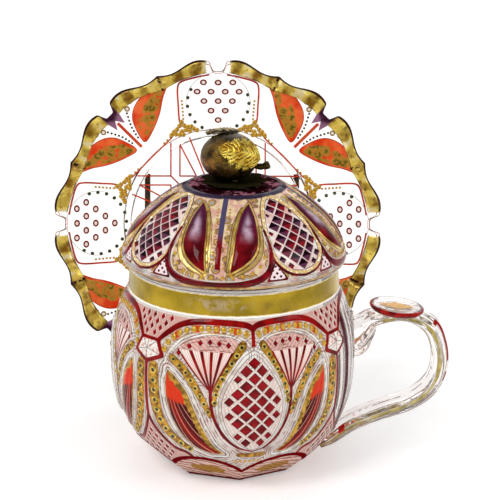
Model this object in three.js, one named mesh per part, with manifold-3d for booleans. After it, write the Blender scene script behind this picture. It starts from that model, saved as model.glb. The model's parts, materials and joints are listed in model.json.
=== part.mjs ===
import * as THREE from 'three';
import { mergeVertices } from 'three/addons/utils/BufferGeometryUtils.js';
import Module from 'manifold-3d';

const wasm = await Module();
wasm.setup();

// A cut glass cup with one handle and a domed cover, and its scalloped saucer shown upright on a
// wire easel behind it. Millimetres and degrees. The cup stands on its flat base at the origin,
// its axis is Z and its handle points along +X. The front is -Y.

const touchGap = 0.3;             // left between pieces that lie against each other

// Cup
const bellyRadius = 55.6;
const bellyHeight = 52;
const heelRadius = 33.5;          // the barrel's curve, carried down to the table
const heelRoundness = 2.5;
const neckRadius = 48;
const neckHeight = 83;            // lower edge of the gilt neck band
const shoulderRoundness = 2.3;
const lipRadius = 46.9;
const lipHeight = 95.9;
const cupWall = 4.2;
const cupFloor = 8;
const floorRadius = 27;
const floorRoundness = 3.2;

// The eight flat facets cut round the heel of the cup
const facetCount = 8;
const facetCorner = 31;           // from the axis to a corner of the base
const facetSlope = 42;            // from the table
const facetTurn = 5;              // from the front to the nearest corner

// The egg-shaped medallions that stand proud of the barrel, one on each panel but the handle's
const medallionTurns = [9.3, -87, -174];
const medallionWidth = 29.2;
const medallionTop = 70.8;
const medallionBottom = 22.5;
const medallionRise = 1.4;

// Handle: height, width and thickness along its path, from the upper root to the tail
const handleReach = 94.9;         // from the cup's axis to the middle of the grip
const handleGripHeight = 48;
const handleRootHeight = 60;
const handleRootDepth = 22;
const handleTailHeight = 3.9;
const handleWidth = 14;
const handleThickness = 8;
const thumbRestRadius = 12.6;
const thumbRestThickness = 3.4;
const thumbRestTilt = 6.5;        // the outer edge hangs lower
const thumbRestReach = 74.6;
const thumbRestHeight = 73.4;     // its upper face

// Cover
const coverRadius = 50.4;
const coverSeat = lipHeight + touchGap;
const rimThickness = 0.9;
const domeHeight = 33.3;
const tableRadius = 21.5;         // the flat top of the dome
const domeRoundness = 1.9;
const domeFullness = 0.95;
const flangeClearance = 0.6;      // between the flange and the inside of the neck
const flangeWall = 3.2;
const flangeDepth = 6.5;
const crownThickness = 5;         // glass under the finial
const hollowRadius = 14;          // the flat roof inside the cover
const hollowRoundness = 2.6;
const hollowFullness = 0.8;

// Finial: a fruit with two leaves and a stalk on a calyx, held by a stud and nut through the cover
const fruitRadius = 13;
const fruitHeight = 21.6;
const fruitOffset = -2.2;         // the fruit leans away from its stalk
const leafThickness = 1.3;
const stalkRadius = 1.8;
const stalkLength = 5.4;
const calyxRadius = 14;
const calyxLobes = 9;
const calyxThickness = 1.1;
const studRadius = 1.5;
const studClearance = 0.3;
const studDepthInFruit = 5;
const coverHoleClearance = 0.4;
const washerRadius = 6;
const washerThickness = 1;
const nutAcross = 5.5;            // across the flats
const nutThickness = 2.4;
const studEnd = 1.5;              // stud left showing below the nut

// Saucer, in its own frame: foot on the plane Z = 0, dished face towards +Z
const saucerRadius = 81.3;        // mean radius of the scalloped edge
const scallopDepth = 2;
const scallopShoulder = 7;        // degrees from a notch to the highest point of the scallop
const scallopPitch = 22;
const notchCount = 8;
const notchRadius = 77;
const notchHalfAngle = 2;
const wellRadius = 46;
const saucerFoot = 3;
const saucerFootWidth = 3.5;
const saucerThickness = 4.2;
const rimThicknessSaucer = 3.2;
const saucerDepth = 10.5;         // from the well to the rim
const flareRoundness = 1.6;
const rimWave = 0.8;
const saucerLean = 14;
const saucerCentre = new THREE.Vector3(-8, 90, 85.5);   // of the rim

// Easel
const wireRadius = 1.5;
const easelWidth = 76.5;          // between the uprights' centres
const easelShift = 2;             // of the easel's middle from the saucer's, towards the handle
const uprightTop = 25;            // above the saucer's centre, along the lean
const ledgeTipHeight = 9;
const ledgeTipClearance = 3.5;
const legSpread = 58;             // from the foot of an upright back to the foot of its leg
const legTop = -8;                // on the upright, along the lean
const crossbarHeights = [-52, -4];

const sides = 56;
const radians = THREE.MathUtils.degToRad;

const glass = { color: 0xf1e4e4, roughness: 0.05, metalness: 0, transparent: true, opacity: 0.45 };
const ruby = { color: 0x6a1026, roughness: 0.05, metalness: 0, transparent: true, opacity: 0.8 };
const bronze = { color: 0x5c4a1e, roughness: 0.38, metalness: 1 };
const gilding = { color: 0xd8b23a, roughness: 0.3, metalness: 1 };
const brass = { color: 0xa88a4a, roughness: 0.35, metalness: 1 };
const wire = { color: 0x3a2a20, roughness: 0.45, metalness: 1 };

// Shared corners and positions only, with no triangle that has lost its area
function welded(geometry) {
  geometry.deleteAttribute('normal');
  geometry.deleteAttribute('uv');
  const merged = mergeVertices(geometry, 1e-4);
  const kept = [];
  for (let i = 0; i < merged.index.count; i += 3) {
    const [a, b, c] = [0, 1, 2].map((k) => merged.index.getX(i + k));
    if (a !== b && b !== c && c !== a) kept.push(a, b, c);
  }
  merged.setIndex(kept);
  return merged;
}

function solid(geometry) {
  const merged = welded(geometry);
  return new wasm.Manifold(new wasm.Mesh({
    numProp: 3,
    vertProperties: Float32Array.from(merged.attributes.position.array),
    triVerts: Uint32Array.from(merged.index.array),
  }));
}

function geometryOf(manifold) {
  const mesh = manifold.getMesh();
  const geometry = new THREE.BufferGeometry();
  geometry.setAttribute('position', new THREE.BufferAttribute(Float32Array.from(mesh.vertProperties), 3));
  geometry.setIndex(Array.from(mesh.triVerts));
  return geometry;
}

function piece(name, geometry, look) {
  const shown = welded(geometry).toNonIndexed();
  shown.computeVertexNormals();
  const mesh = new THREE.Mesh(shown, new THREE.MeshStandardMaterial(look));
  mesh.name = name;
  return mesh;
}

// Revolves a profile of [radius, height] pairs, listed with the material on its left, about Z
function revolve(profile, segments = sides) {
  const points = profile.map(([radius, height]) => new THREE.Vector2(radius, height));
  return new THREE.LatheGeometry(points, segments).rotateX(Math.PI / 2);
}

// Moves every vertex of a geometry to the place that a function gives for it
function reshape(geometry, place) {
  const position = geometry.attributes.position;
  const point = new THREE.Vector3();
  for (let i = 0; i < position.count; i++) {
    point.fromBufferAttribute(position, i);
    place(point);
    position.setXYZ(i, point.x, point.y, point.z);
  }
  return geometry;
}

// count + 1 evenly spaced values from one number to another
function steps(from, to, count) {
  return Array.from({ length: count + 1 }, (_, i) => from + (to - from) * i / count);
}

// Outside radius of the barrel: a power curve each way from the belly, then the straight neck
function barrelRadius(z) {
  if (z > neckHeight) {
    return THREE.MathUtils.mapLinear(z, neckHeight, lipHeight, neckRadius, lipRadius);
  }
  if (z > bellyHeight) {
    const t = (z - bellyHeight) / (neckHeight - bellyHeight);
    return bellyRadius - (bellyRadius - neckRadius) * t ** shoulderRoundness;
  }
  const t = (bellyHeight - z) / bellyHeight;
  return bellyRadius - (bellyRadius - heelRadius) * t ** heelRoundness;
}

// Inside radius: a wall's thickness in from the barrel, drawn in to the flat floor
function hollowCupRadius(z) {
  if (z > bellyHeight) return barrelRadius(z) - cupWall;
  const t = (bellyHeight - z) / (bellyHeight - cupFloor);
  const belly = bellyRadius - cupWall;
  return belly - (belly - floorRadius) * t ** floorRoundness;
}

// The solid barrel, grown outwards by some distance, with its heel cut to eight flat facets
function barrelBlank(growth) {
  const heights = [...steps(0, bellyHeight, 9), ...steps(bellyHeight, neckHeight, 5).slice(1), lipHeight];
  const wall = heights.map((z) => [barrelRadius(z) + growth, z]);
  const round = solid(revolve([[0, 0], ...wall, [0, lipHeight]]));
  const spread = lipHeight / Math.tan(radians(facetSlope)) / Math.cos(Math.PI / facetCount);
  const corner = facetCorner + growth;
  const cone = new THREE.CylinderGeometry(corner + spread, corner, lipHeight, facetCount);
  cone.rotateX(Math.PI / 2).translate(0, 0, lipHeight / 2);
  cone.rotateZ(radians(facetTurn - 90));
  return round.intersect(solid(cone));
}

// A pointed egg, wide below the middle, standing on its small end
function eggShape(width, top, bottom) {
  const middle = bottom + (top - bottom) * 0.47;
  const egg = new THREE.Shape();
  egg.moveTo(0, top);
  egg.bezierCurveTo(-width * 0.2, top - 3, -width / 2, middle + 13, -width / 2, middle);
  egg.bezierCurveTo(-width / 2, middle - 12, -width * 0.28, bottom, 0, bottom);
  egg.bezierCurveTo(width * 0.28, bottom, width / 2, middle - 12, width / 2, middle);
  egg.bezierCurveTo(width / 2, middle + 13, width * 0.2, top - 3, 0, top);
  return egg;
}

// A medallion is the part of a slightly larger barrel that lies inside an extruded egg
function medallion(turn) {
  const egg = new THREE.ExtrudeGeometry(eggShape(medallionWidth, medallionTop, medallionBottom), {
    depth: bellyRadius, bevelEnabled: false, curveSegments: 7,
  });
  egg.rotateX(Math.PI / 2).rotateZ(radians(turn));
  return solid(egg).intersect(barrelBlank(medallionRise));
}

function cupGeometry() {
  const heights = [...steps(cupFloor, bellyHeight, 7), ...steps(bellyHeight, neckHeight, 4).slice(1)];
  const wall = heights.map((z) => [hollowCupRadius(z), z]);
  const mouth = lipHeight + 1;
  const hollow = [[0, cupFloor], ...wall, [hollowCupRadius(lipHeight), mouth], [0, mouth]];
  let cup = barrelBlank(0);
  for (const turn of medallionTurns) cup = cup.add(medallion(turn));
  return geometryOf(cup.subtract(solid(revolve(hollow))));
}

// The handle's path in the XZ plane, with its width across and its thickness at each station
function handleStations() {
  const [reach, grip, w, t] = [handleReach, handleGripHeight, handleWidth, handleThickness];
  const rest = thumbRestHeight - thumbRestThickness;
  return [
    [bellyRadius - 7, handleRootHeight - 0.5, w, handleRootDepth + 3],
    [bellyRadius - 0.5, handleRootHeight, w, handleRootDepth],
    [bellyRadius + 3.4, handleRootHeight + 2.6, w, handleRootDepth * 0.62],
    [bellyRadius + 7, handleRootHeight + 6.4, w, t + 1],
    [thumbRestReach - 6.5, rest - 1.6, w + 2, t - 1.5],
    [thumbRestReach, rest - 0.6, w + 3, t - 2.5],
    [thumbRestReach + 7.5, rest - 1.6, w + 1, t - 1.5],
    [reach - 5, grip + 16, w, t],
    [reach - 1.4, grip + 8.6, w - 1, t],
    [reach, grip, w - 1, t],
    [reach - 1.5, grip - 8.6, w - 1, t],
    [reach - 6.2, grip - 15.8, w, t + 0.5],
    [reach - 14, grip - 21.2, w + 1, t + 0.5],
    [reach - 23, grip - 24.4, w + 2, t + 0.5],
    [reach - 32, grip - 28, w + 2, t + 0.5],
    [bellyRadius - 1.5, handleTailHeight + 12, w + 2, t],
    [bellyRadius - 10.2, handleTailHeight + 5.2, w, t - 1],
    [bellyRadius - 16.6, handleTailHeight, w - 4, t - 4],
  ];
}

// An eight-sided bar carried along the path, made from an upright cylinder
function handleBar() {
  const stations = handleStations();
  const path = new THREE.CatmullRomCurve3(stations.map(([x, z]) => new THREE.Vector3(x, 0, z)));
  const sizes = new THREE.CatmullRomCurve3(stations.map(([, , w, t]) => new THREE.Vector3(w, t, 0)));
  const flats = Math.cos(Math.PI / 8);
  const bar = new THREE.CylinderGeometry(1, 1, 1, 8, 40).rotateY(Math.PI / 8);
  return reshape(bar, (point) => {
    const along = THREE.MathUtils.clamp(point.y + 0.5, 0, 1);
    const centre = path.getPoint(along);
    const tangent = path.getTangent(along);
    const size = sizes.getPoint(along).multiplyScalar(0.5 / flats);
    const [across, out] = [-point.x * size.x, point.z * size.y];
    point.set(centre.x - tangent.z * out, across, centre.z + tangent.x * out);
  });
}

function thumbRest() {
  const [r, t] = [thumbRestRadius, thumbRestThickness];
  const disc = revolve([[0, -t], [r - 2.5, -t], [r, -t * 0.45], [r, -0.5], [r - 0.6, 0], [0, 0]], 28);
  return disc.rotateY(radians(thumbRestTilt)).translate(thumbRestReach, 0, thumbRestHeight);
}

function handleGeometry() {
  return geometryOf(solid(handleBar()).add(solid(thumbRest())).subtract(barrelBlank(touchGap)));
}

// Radius of a dome between its rim and its flat top, t running from 0 at the rim to 1 at the top
function domeRadius(rim, top, t, roundness, fullness) {
  return top + (rim - top) * (1 - t ** roundness) ** fullness;
}

const coverTop = coverSeat + rimThickness + domeHeight;
const roofHeight = coverTop - crownThickness;
const neckBore = lipRadius - cupWall;
const flangeRadius = neckBore - flangeClearance;
const flangeBore = flangeRadius - flangeWall;

function coverGeometry() {
  const hole = studRadius + coverHoleClearance;
  const outside = [0, 0.1, 0.22, 0.35, 0.48, 0.6, 0.72, 0.83, 0.92, 0.98, 1].map((t) => [
    domeRadius(coverRadius, tableRadius, t, domeRoundness, domeFullness),
    coverSeat + rimThickness + t * domeHeight,
  ]);
  const inside = [1, 0.94, 0.84, 0.7, 0.5, 0.25, 0].map((t) => [
    domeRadius(flangeBore, hollowRadius, t, hollowRoundness, hollowFullness),
    coverSeat + t * (roofHeight - coverSeat),
  ]);
  const flangeEnd = coverSeat - flangeDepth;
  return revolve([
    [flangeRadius, flangeEnd], [flangeRadius, coverSeat], [coverRadius - 0.7, coverSeat],
    ...outside, [hole, coverTop], [hole, roofHeight], ...inside,
    [flangeBore, flangeEnd], [flangeRadius, flangeEnd],
  ]);
}

const calyxHeight = coverTop + touchGap;
const fruitCentre = new THREE.Vector3(fruitOffset, 0, calyxHeight + calyxThickness + touchGap
  + fruitHeight / 2);
const studTop = fruitCentre.z - fruitHeight / 2 + studDepthInFruit;
const washerTop = roofHeight - touchGap;
const nutTop = washerTop - washerThickness - touchGap;
const studBottom = nutTop - nutThickness - studEnd;

// Point on the fruit's skin, or a height above it, in the direction of a unit vector
function onFruit(direction, above) {
  return new THREE.Vector3(
    direction.x * (fruitRadius + above),
    direction.y * (fruitRadius + above),
    direction.z * (fruitHeight / 2 + above),
  ).add(fruitCentre);
}

function fruitGeometry() {
  const fruit = new THREE.SphereGeometry(1, 24, 15).rotateX(Math.PI / 2);
  reshape(fruit, (point) => point.copy(onFruit(point, 0)));
  const bore = studRadius + studClearance;
  const hole = revolve([[0, studTop - 20], [bore, studTop - 20], [bore, studTop + 1], [0, studTop + 1]], 20);
  return geometryOf(solid(fruit).subtract(solid(hole)));
}

// A leaf laid over the fruit: a thin slab bent round it from a root to a tip, both given as
// directions from the fruit's middle, with three lobes on each side
function leafGeometry(root, tip, halfWidth, lift) {
  const axis = new THREE.Vector3().crossVectors(root, tip).normalize();
  const span = root.angleTo(tip);
  return reshape(new THREE.BoxGeometry(1, 1, 1, 12, 4, 1), (point) => {
    const along = point.x + 0.5;
    const lobes = 1 + 0.14 * Math.cos(6 * Math.PI * along);
    const width = 0.06 + halfWidth * Math.sin(Math.PI * along ** 0.8) ** 0.75 * lobes;
    const spine = root.clone().applyAxisAngle(axis, along * span);
    const side = spine.clone().applyAxisAngle(axis, Math.PI / 2);
    const direction = spine.applyAxisAngle(side, -point.y * 2 * width);
    const crown = leafThickness * (1 - 0.55 * (2 * point.y) ** 2);
    point.copy(onFruit(direction, touchGap + lift(along) + (point.z + 0.5) * crown));
  });
}

const stalkDirection = new THREE.Vector3(1, -0.12, -0.42).normalize();

function stalkGeometry() {
  const from = onFruit(stalkDirection, touchGap + 0.3);
  const to = from.clone().addScaledVector(new THREE.Vector3(1, -0.1, 0.06).normalize(), stalkLength);
  return bar(from, to, stalkRadius, 10);
}

// The calyx: a thin lobed rosette between the cover and the fruit, curled up at its edge
function calyxGeometry() {
  const bore = studRadius + studClearance;
  const [inner, outer, t] = [calyxRadius * 0.45, calyxRadius * 0.8, calyxThickness];
  const profile = [[bore, 0], [inner, 0], [outer, 0], [calyxRadius, t / 2],
    [calyxRadius, t], [outer, t], [inner, t], [bore, t], [bore, 0]];
  return reshape(revolve(profile, calyxLobes * 4), (point) => {
    const radius = Math.hypot(point.x, point.y);
    const edge = THREE.MathUtils.smoothstep(radius, calyxRadius * 0.35, calyxRadius);
    const lobe = Math.cos(calyxLobes * Math.atan2(point.y, point.x));
    const scale = 1 + 0.12 * edge * lobe;
    point.set(point.x * scale, point.y * scale, point.z + calyxHeight + edge * (0.7 + 0.3 * lobe));
  });
}

// A ring with a bore: the washer, and with six sides the nut
function ringGeometry(radius, top, thickness, segments) {
  const bore = studRadius + studClearance;
  const low = top - thickness;
  return revolve([[bore, low], [radius, low], [radius, top], [bore, top], [bore, low]], segments);
}

function nutGeometry() {
  const hex = new THREE.CylinderGeometry(nutAcross / Math.sqrt(3), nutAcross / Math.sqrt(3), nutThickness, 6);
  hex.rotateX(Math.PI / 2).translate(0, 0, nutTop - nutThickness / 2);
  const bore = studRadius + studClearance;
  const hole = revolve([[0, nutTop - 9], [bore, nutTop - 9], [bore, nutTop + 3], [0, nutTop + 3]], 20);
  return geometryOf(solid(hex).subtract(solid(hole)));
}

function studGeometry() {
  return revolve([[0, studBottom], [studRadius, studBottom], [studRadius, studTop], [0, studTop]], 16);
}

// A round bar between two points
function bar(from, to, radius, segments = 12) {
  const rod = new THREE.CylinderGeometry(radius, radius, from.distanceTo(to), segments);
  const direction = new THREE.Vector3().subVectors(to, from).normalize();
  rod.applyQuaternion(new THREE.Quaternion().setFromUnitVectors(new THREE.Vector3(0, 1, 0), direction));
  return rod.translate(...new THREE.Vector3().addVectors(from, to).multiplyScalar(0.5).toArray());
}

// Radius of the saucer's edge: two scallops between each pair of notches
function edgeRadius(angle) {
  const period = 360 / notchCount;
  const turn = THREE.MathUtils.euclideanModulo(angle + period / 2, period) - period / 2;
  const fromNotch = Math.abs(turn);
  if (fromNotch < notchHalfAngle) return notchRadius;
  return saucerRadius + scallopDepth * Math.cos(2 * Math.PI * (fromNotch - scallopShoulder) / scallopPitch);
}

const wellHeight = saucerFoot + saucerThickness;
const rimHeight = wellHeight + saucerDepth;

// The dished face and the back, as heights above the foot at a share of the flare's width
function saucerProfile() {
  const flare = (share) => wellHeight + saucerDepth * share ** flareRoundness;
  const radius = (share) => wellRadius + (saucerRadius - wellRadius) * share;
  const face = [0, 0.25, 0.5, 0.75, 0.9, 1].map((share) => [radius(share), flare(share)]).reverse();
  const back = [0.25, 0.5, 0.8].map((share) => [radius(share) + 1.2, flare(share) - saucerThickness]);
  const footOut = wellRadius + 2;
  const footIn = footOut - saucerFootWidth;
  return [
    [0, saucerFoot], [footIn - 1, saucerFoot], [footIn, 0], [footOut, 0], [footOut + 1, saucerFoot],
    ...back, [saucerRadius, rimHeight - rimThicknessSaucer], ...face, [0, wellHeight],
  ];
}

function saucerGeometry() {
  return reshape(revolve(saucerProfile(), notchCount * 12), (point) => {
    const radius = Math.hypot(point.x, point.y);
    if (radius < wellRadius + 3) return;
    const angle = THREE.MathUtils.radToDeg(Math.atan2(point.y, point.x));
    const share = (radius - wellRadius) / (saucerRadius - wellRadius);
    const edge = edgeRadius(angle);
    const scale = 1 + (edge / saucerRadius - 1) * share ** 3;
    const wave = rimWave * Math.cos(radians(2 * notchCount * angle)) * share ** 3;
    point.set(point.x * scale, point.y * scale, point.z + wave);
  });
}

// Turns the saucer's own frame upright, leaning back, with the middle of its rim at its place
function saucerFrame() {
  const frame = new THREE.Group();
  frame.rotation.x = radians(90 - saucerLean);
  const forward = new THREE.Vector3(0, 0, rimHeight).applyEuler(frame.rotation);
  frame.position.copy(saucerCentre).sub(forward);
  frame.updateMatrix();
  return frame;
}

const frame = saucerFrame();
const uprightDepth = -(wireRadius + touchGap);     // the uprights' axes, behind the saucer's foot
const inFrame = (x, y, z) => new THREE.Vector3(x, y, z).applyMatrix4(frame.matrix);

const uprightX = (side) => easelShift + side * easelWidth / 2;

// The point of an upright's axis at a height above the table
function uprightAt(side, height) {
  const x = uprightX(side);
  const from = inFrame(x, 0, uprightDepth);
  const up = inFrame(x, 1, uprightDepth).sub(from);
  return from.addScaledVector(up, (height - from.z) / up.z);
}

function uprightGeometry(side) {
  const foot = wireRadius * Math.sin(radians(saucerLean));
  return bar(uprightAt(side, foot), inFrame(uprightX(side), uprightTop, uprightDepth), wireRadius);
}

// Where the saucer's edge rests above an upright's ledge
function edgeOverLedge(side) {
  const x = uprightX(side);
  const angle = Math.asin(x / saucerRadius) - Math.PI / 2;
  const edge = edgeRadius(THREE.MathUtils.radToDeg(angle));
  const wave = rimWave * Math.cos(2 * notchCount * angle);
  return inFrame(x, -Math.sqrt(edge * edge - x * x), rimHeight - rimThicknessSaucer + wave);
}

// The ledge: a wire that runs forward under the saucer's edge and turns up in front of it
function ledgeGeometry(side) {
  const under = edgeOverLedge(side);
  const height = under.z - 2 * touchGap - wireRadius;
  const back = uprightAt(side, height);
  const startY = back.y - (wireRadius + touchGap) / Math.cos(radians(saucerLean));
  const frontY = under.y - rimThicknessSaucer - ledgeTipClearance - wireRadius;
  const bend = 3;
  const route = new THREE.CurvePath();
  const at = (y, z) => new THREE.Vector3(back.x, y, z);
  route.add(new THREE.LineCurve3(at(startY, height), at(frontY + bend, height)));
  route.add(new THREE.QuadraticBezierCurve3(at(frontY + bend, height), at(frontY, height),
    at(frontY - 0.6, height + bend)));
  route.add(new THREE.LineCurve3(at(frontY - 0.6, height + bend), at(frontY - 1.6, height + ledgeTipHeight)));
  const round = new THREE.Shape().absarc(0, 0, wireRadius, 0, 2 * Math.PI);
  return new THREE.ExtrudeGeometry(round, { steps: 12, curveSegments: 4, extrudePath: route });
}

// The leg: from behind an upright, down and back to the table
function legGeometry(side) {
  const joint = inFrame(uprightX(side), legTop, uprightDepth);
  const foot = uprightAt(side, 0).add(new THREE.Vector3(0, legSpread, 0));
  const slope = new THREE.Vector3().subVectors(foot, joint).normalize();
  const up = inFrame(0, 1, 0).sub(inFrame(0, 0, 0));
  const away = inFrame(0, 0, -1).sub(inFrame(0, 0, 0));
  const reach = wireRadius + touchGap + wireRadius * Math.abs(slope.dot(up));
  foot.z = wireRadius * Math.hypot(slope.x, slope.y);
  return bar(joint.addScaledVector(away, reach), foot, wireRadius);
}

function crossbarGeometry(height) {
  const inset = wireRadius + touchGap;
  const from = inFrame(uprightX(-1) + inset, height, uprightDepth);
  return bar(from, inFrame(uprightX(1) - inset, height, uprightDepth), wireRadius);
}

const cup = new THREE.Group();
cup.add(piece('cup_body', cupGeometry(), glass), piece('handle', handleGeometry(), glass));

const cover = new THREE.Group();
const frontRoot = new THREE.Vector3(0.8, -0.3, 0).normalize();
const frontTip = new THREE.Vector3(-0.33, -0.78, 0.53).normalize();
const backRoot = new THREE.Vector3(0.3, 0.5, 0.85).normalize();
const backTip = new THREE.Vector3(-0.75, 0.1, 0.85).normalize();
cover.add(
  piece('cover_dome', coverGeometry(), ruby),
  piece('finial_calyx', calyxGeometry(), bronze),
  piece('finial_fruit', fruitGeometry(), bronze),
  piece('finial_leaf_front', leafGeometry(frontRoot, frontTip, 0.66, () => 0), gilding),
  piece('finial_leaf_back', leafGeometry(backRoot, backTip, 0.42, (along) => 1.4 * along ** 2), bronze),
  piece('finial_stalk', stalkGeometry(), bronze),
  piece('finial_stud', studGeometry(), brass),
  piece('finial_washer', ringGeometry(washerRadius, washerTop, washerThickness, 24), brass),
  piece('finial_nut', nutGeometry(), brass),
);

const saucer = saucerFrame();
saucer.add(piece('saucer', saucerGeometry(), glass));

const easel = new THREE.Group();
for (const [word, side] of [['left', -1], ['right', 1]]) {
  easel.add(
    piece(`easel_upright_${word}`, uprightGeometry(side), wire),
    piece(`easel_ledge_${word}`, ledgeGeometry(side), wire),
    piece(`easel_leg_${word}`, legGeometry(side), wire),
  );
}
easel.add(
  piece('easel_crossbar_lower', crossbarGeometry(crossbarHeights[0]), wire),
  piece('easel_crossbar_upper', crossbarGeometry(crossbarHeights[1]), wire),
);

const coveredCup = new THREE.Group();
coveredCup.name = 'covered_cup_with_saucer';
coveredCup.add(cup, cover, saucer, easel);
export default coveredCup;
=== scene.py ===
# %% [markdown]
# A covered cup of cut ruby glass and its saucer
#
# The cup, its cover and its saucer are clear glass with a thin skin of ruby that the cutter ground
# through, and a painter then gilded what was left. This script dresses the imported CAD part: each
# glass body is a closed surface worked out with numpy, and its finish is a stack of thin layers.
# Lengths are named in millimetres and become metres where a mesh is made.

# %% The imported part
import json
import math
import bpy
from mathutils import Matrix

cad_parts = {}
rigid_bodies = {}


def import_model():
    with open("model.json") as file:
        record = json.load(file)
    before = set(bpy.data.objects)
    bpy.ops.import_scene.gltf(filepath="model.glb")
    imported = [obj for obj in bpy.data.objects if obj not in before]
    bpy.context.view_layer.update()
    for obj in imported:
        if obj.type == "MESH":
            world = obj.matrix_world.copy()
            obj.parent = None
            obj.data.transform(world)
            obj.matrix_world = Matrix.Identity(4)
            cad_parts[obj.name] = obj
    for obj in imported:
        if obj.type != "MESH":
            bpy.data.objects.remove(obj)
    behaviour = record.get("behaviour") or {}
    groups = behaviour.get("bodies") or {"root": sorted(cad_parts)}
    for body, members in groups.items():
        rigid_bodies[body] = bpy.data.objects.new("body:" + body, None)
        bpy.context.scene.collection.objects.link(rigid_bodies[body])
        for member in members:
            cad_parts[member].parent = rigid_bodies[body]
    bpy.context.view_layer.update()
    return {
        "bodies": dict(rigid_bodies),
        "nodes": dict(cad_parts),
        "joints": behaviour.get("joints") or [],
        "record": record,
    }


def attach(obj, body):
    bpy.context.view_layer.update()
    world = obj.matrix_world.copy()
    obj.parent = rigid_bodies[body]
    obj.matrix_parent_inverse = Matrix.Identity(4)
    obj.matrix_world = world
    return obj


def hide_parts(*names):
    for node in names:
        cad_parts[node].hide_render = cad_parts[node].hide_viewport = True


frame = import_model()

from types import SimpleNamespace

import bpy
import numpy as np
from mathutils import Matrix, Vector

MM = 0.001

# %% [markdown]
# The camera
#
# The picture was taken with a long lens from a little above the cover. The place and aim below were
# fitted to the rings of the cup, so the render and the photograph lie on each other.

# %% Camera
CAMERA_PLACE = Vector((-1.8, -752.9, 329.8)) * MM
YAW, PITCH, ROLL = 0.009, 0.297, 0.005      # radians: to the right, down, and the right side raised
FOCAL_PIXELS = 1740.4
PICTURE_HEIGHT = 500        # pixels on the long side
SENSOR = 36.0

camera = bpy.data.objects.new("camera", bpy.data.cameras.new("camera"))
camera.data.sensor_width = SENSOR
camera.data.lens = FOCAL_PIXELS * SENSOR / PICTURE_HEIGHT
camera.data.clip_end = 50
aim = Matrix.Rotation(-YAW, 4, "Z") @ Matrix.Rotation(math.pi / 2 - PITCH, 4, "X")
camera.matrix_world = Matrix.Translation(CAMERA_PLACE) @ aim @ Matrix.Rotation(ROLL, 4, "Z")
bpy.context.scene.collection.objects.link(camera)
bpy.context.scene.camera = camera
bpy.context.scene.view_settings.view_transform = "Standard"
print("lens", round(camera.data.lens, 2), "mm")

# %% [markdown]
# Finishes as arithmetic
#
# A finish is easier to read as a formula than as boxes and wires. Signal wraps one socket, so that
# adding or comparing two of them adds the Math node that does it. Finish holds one material, as a
# stack of layers, and a colour is written as six hexadecimal digits.

# %% Signals
def plug(tree, socket, term):
    """Puts a number, a colour or the output of another node into a socket."""
    if isinstance(term, Signal):
        term = term.socket
    if isinstance(term, bpy.types.NodeSocket):
        tree.links.new(term, socket)
    else:
        socket.default_value = paint(term) if isinstance(term, str) else term


def paint(code):
    """Linear red, green, blue and alpha of a colour code, by the curve that screens use."""
    shares = [int(code[i:i + 2], 16) / 255 for i in (0, 2, 4)]
    linear = [s / 12.92 if s <= 0.04045 else ((s + 0.055) / 1.055) ** 2.4 for s in shares]
    return (*linear, 1.0)


def add_node(tree, kind, sockets, settings):
    """A new node: first its settings, then the values or links of its sockets."""
    made = tree.nodes.new(kind)
    for name, value in settings.items():
        setattr(made, name, value)
    for name, term in sockets.items():
        plug(tree, made.inputs[name], term)
    return made


def by_math(operation, swapped=False):
    """A method that adds one Math node; a swapped one puts its own value second."""
    def method(self, *other):
        return self.math(operation, *((*other, self) if swapped else (self, *other)))
    return method


class Signal:
    """One number at each point of a surface."""

    def __init__(self, tree, socket):
        self.tree, self.socket = tree, socket

    def math(self, operation, *terms):
        made = add_node(self.tree, "ShaderNodeMath", dict(enumerate(terms)), {"operation": operation})
        return Signal(self.tree, made.outputs[0])

    __add__ = __radd__ = by_math("ADD")
    __sub__, __rsub__ = by_math("SUBTRACT"), by_math("SUBTRACT", swapped=True)
    __mul__ = __rmul__ = by_math("MULTIPLY")
    __truediv__, __mod__, __abs__ = by_math("DIVIDE"), by_math("FLOORED_MODULO"), by_math("ABSOLUTE")
    least, most = by_math("MINIMUM"), by_math("MAXIMUM")
    root, wave = by_math("SQRT"), by_math("SINE")       # the wave of a value in radians

    def __neg__(self):
        return self * -1.0

    def rise(self, low, high):
        """0 below low, 1 above high, and a smooth step between; low may be the larger."""
        sockets = {"Value": self, "From Min": low, "From Max": high}
        made = add_node(self.tree, "ShaderNodeMapRange", sockets, {"interpolation_type": "SMOOTHSTEP"})
        return Signal(self.tree, made.outputs[0])

    def under(self, limit, blur=0.12):
        """1 where the value is under the limit, 0 over it, with a soft edge."""
        return self.rise(limit + blur, limit - blur)

    def near(self, value, half, blur=0.12):
        """1 where the signal is within half of a value."""
        return abs(self - value).under(half, blur)


def most_of(masks):
    """The largest of several masks."""
    whole = masks[0]
    for mask in masks[1:]:
        whole = whole.most(mask)
    return whole


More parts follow.
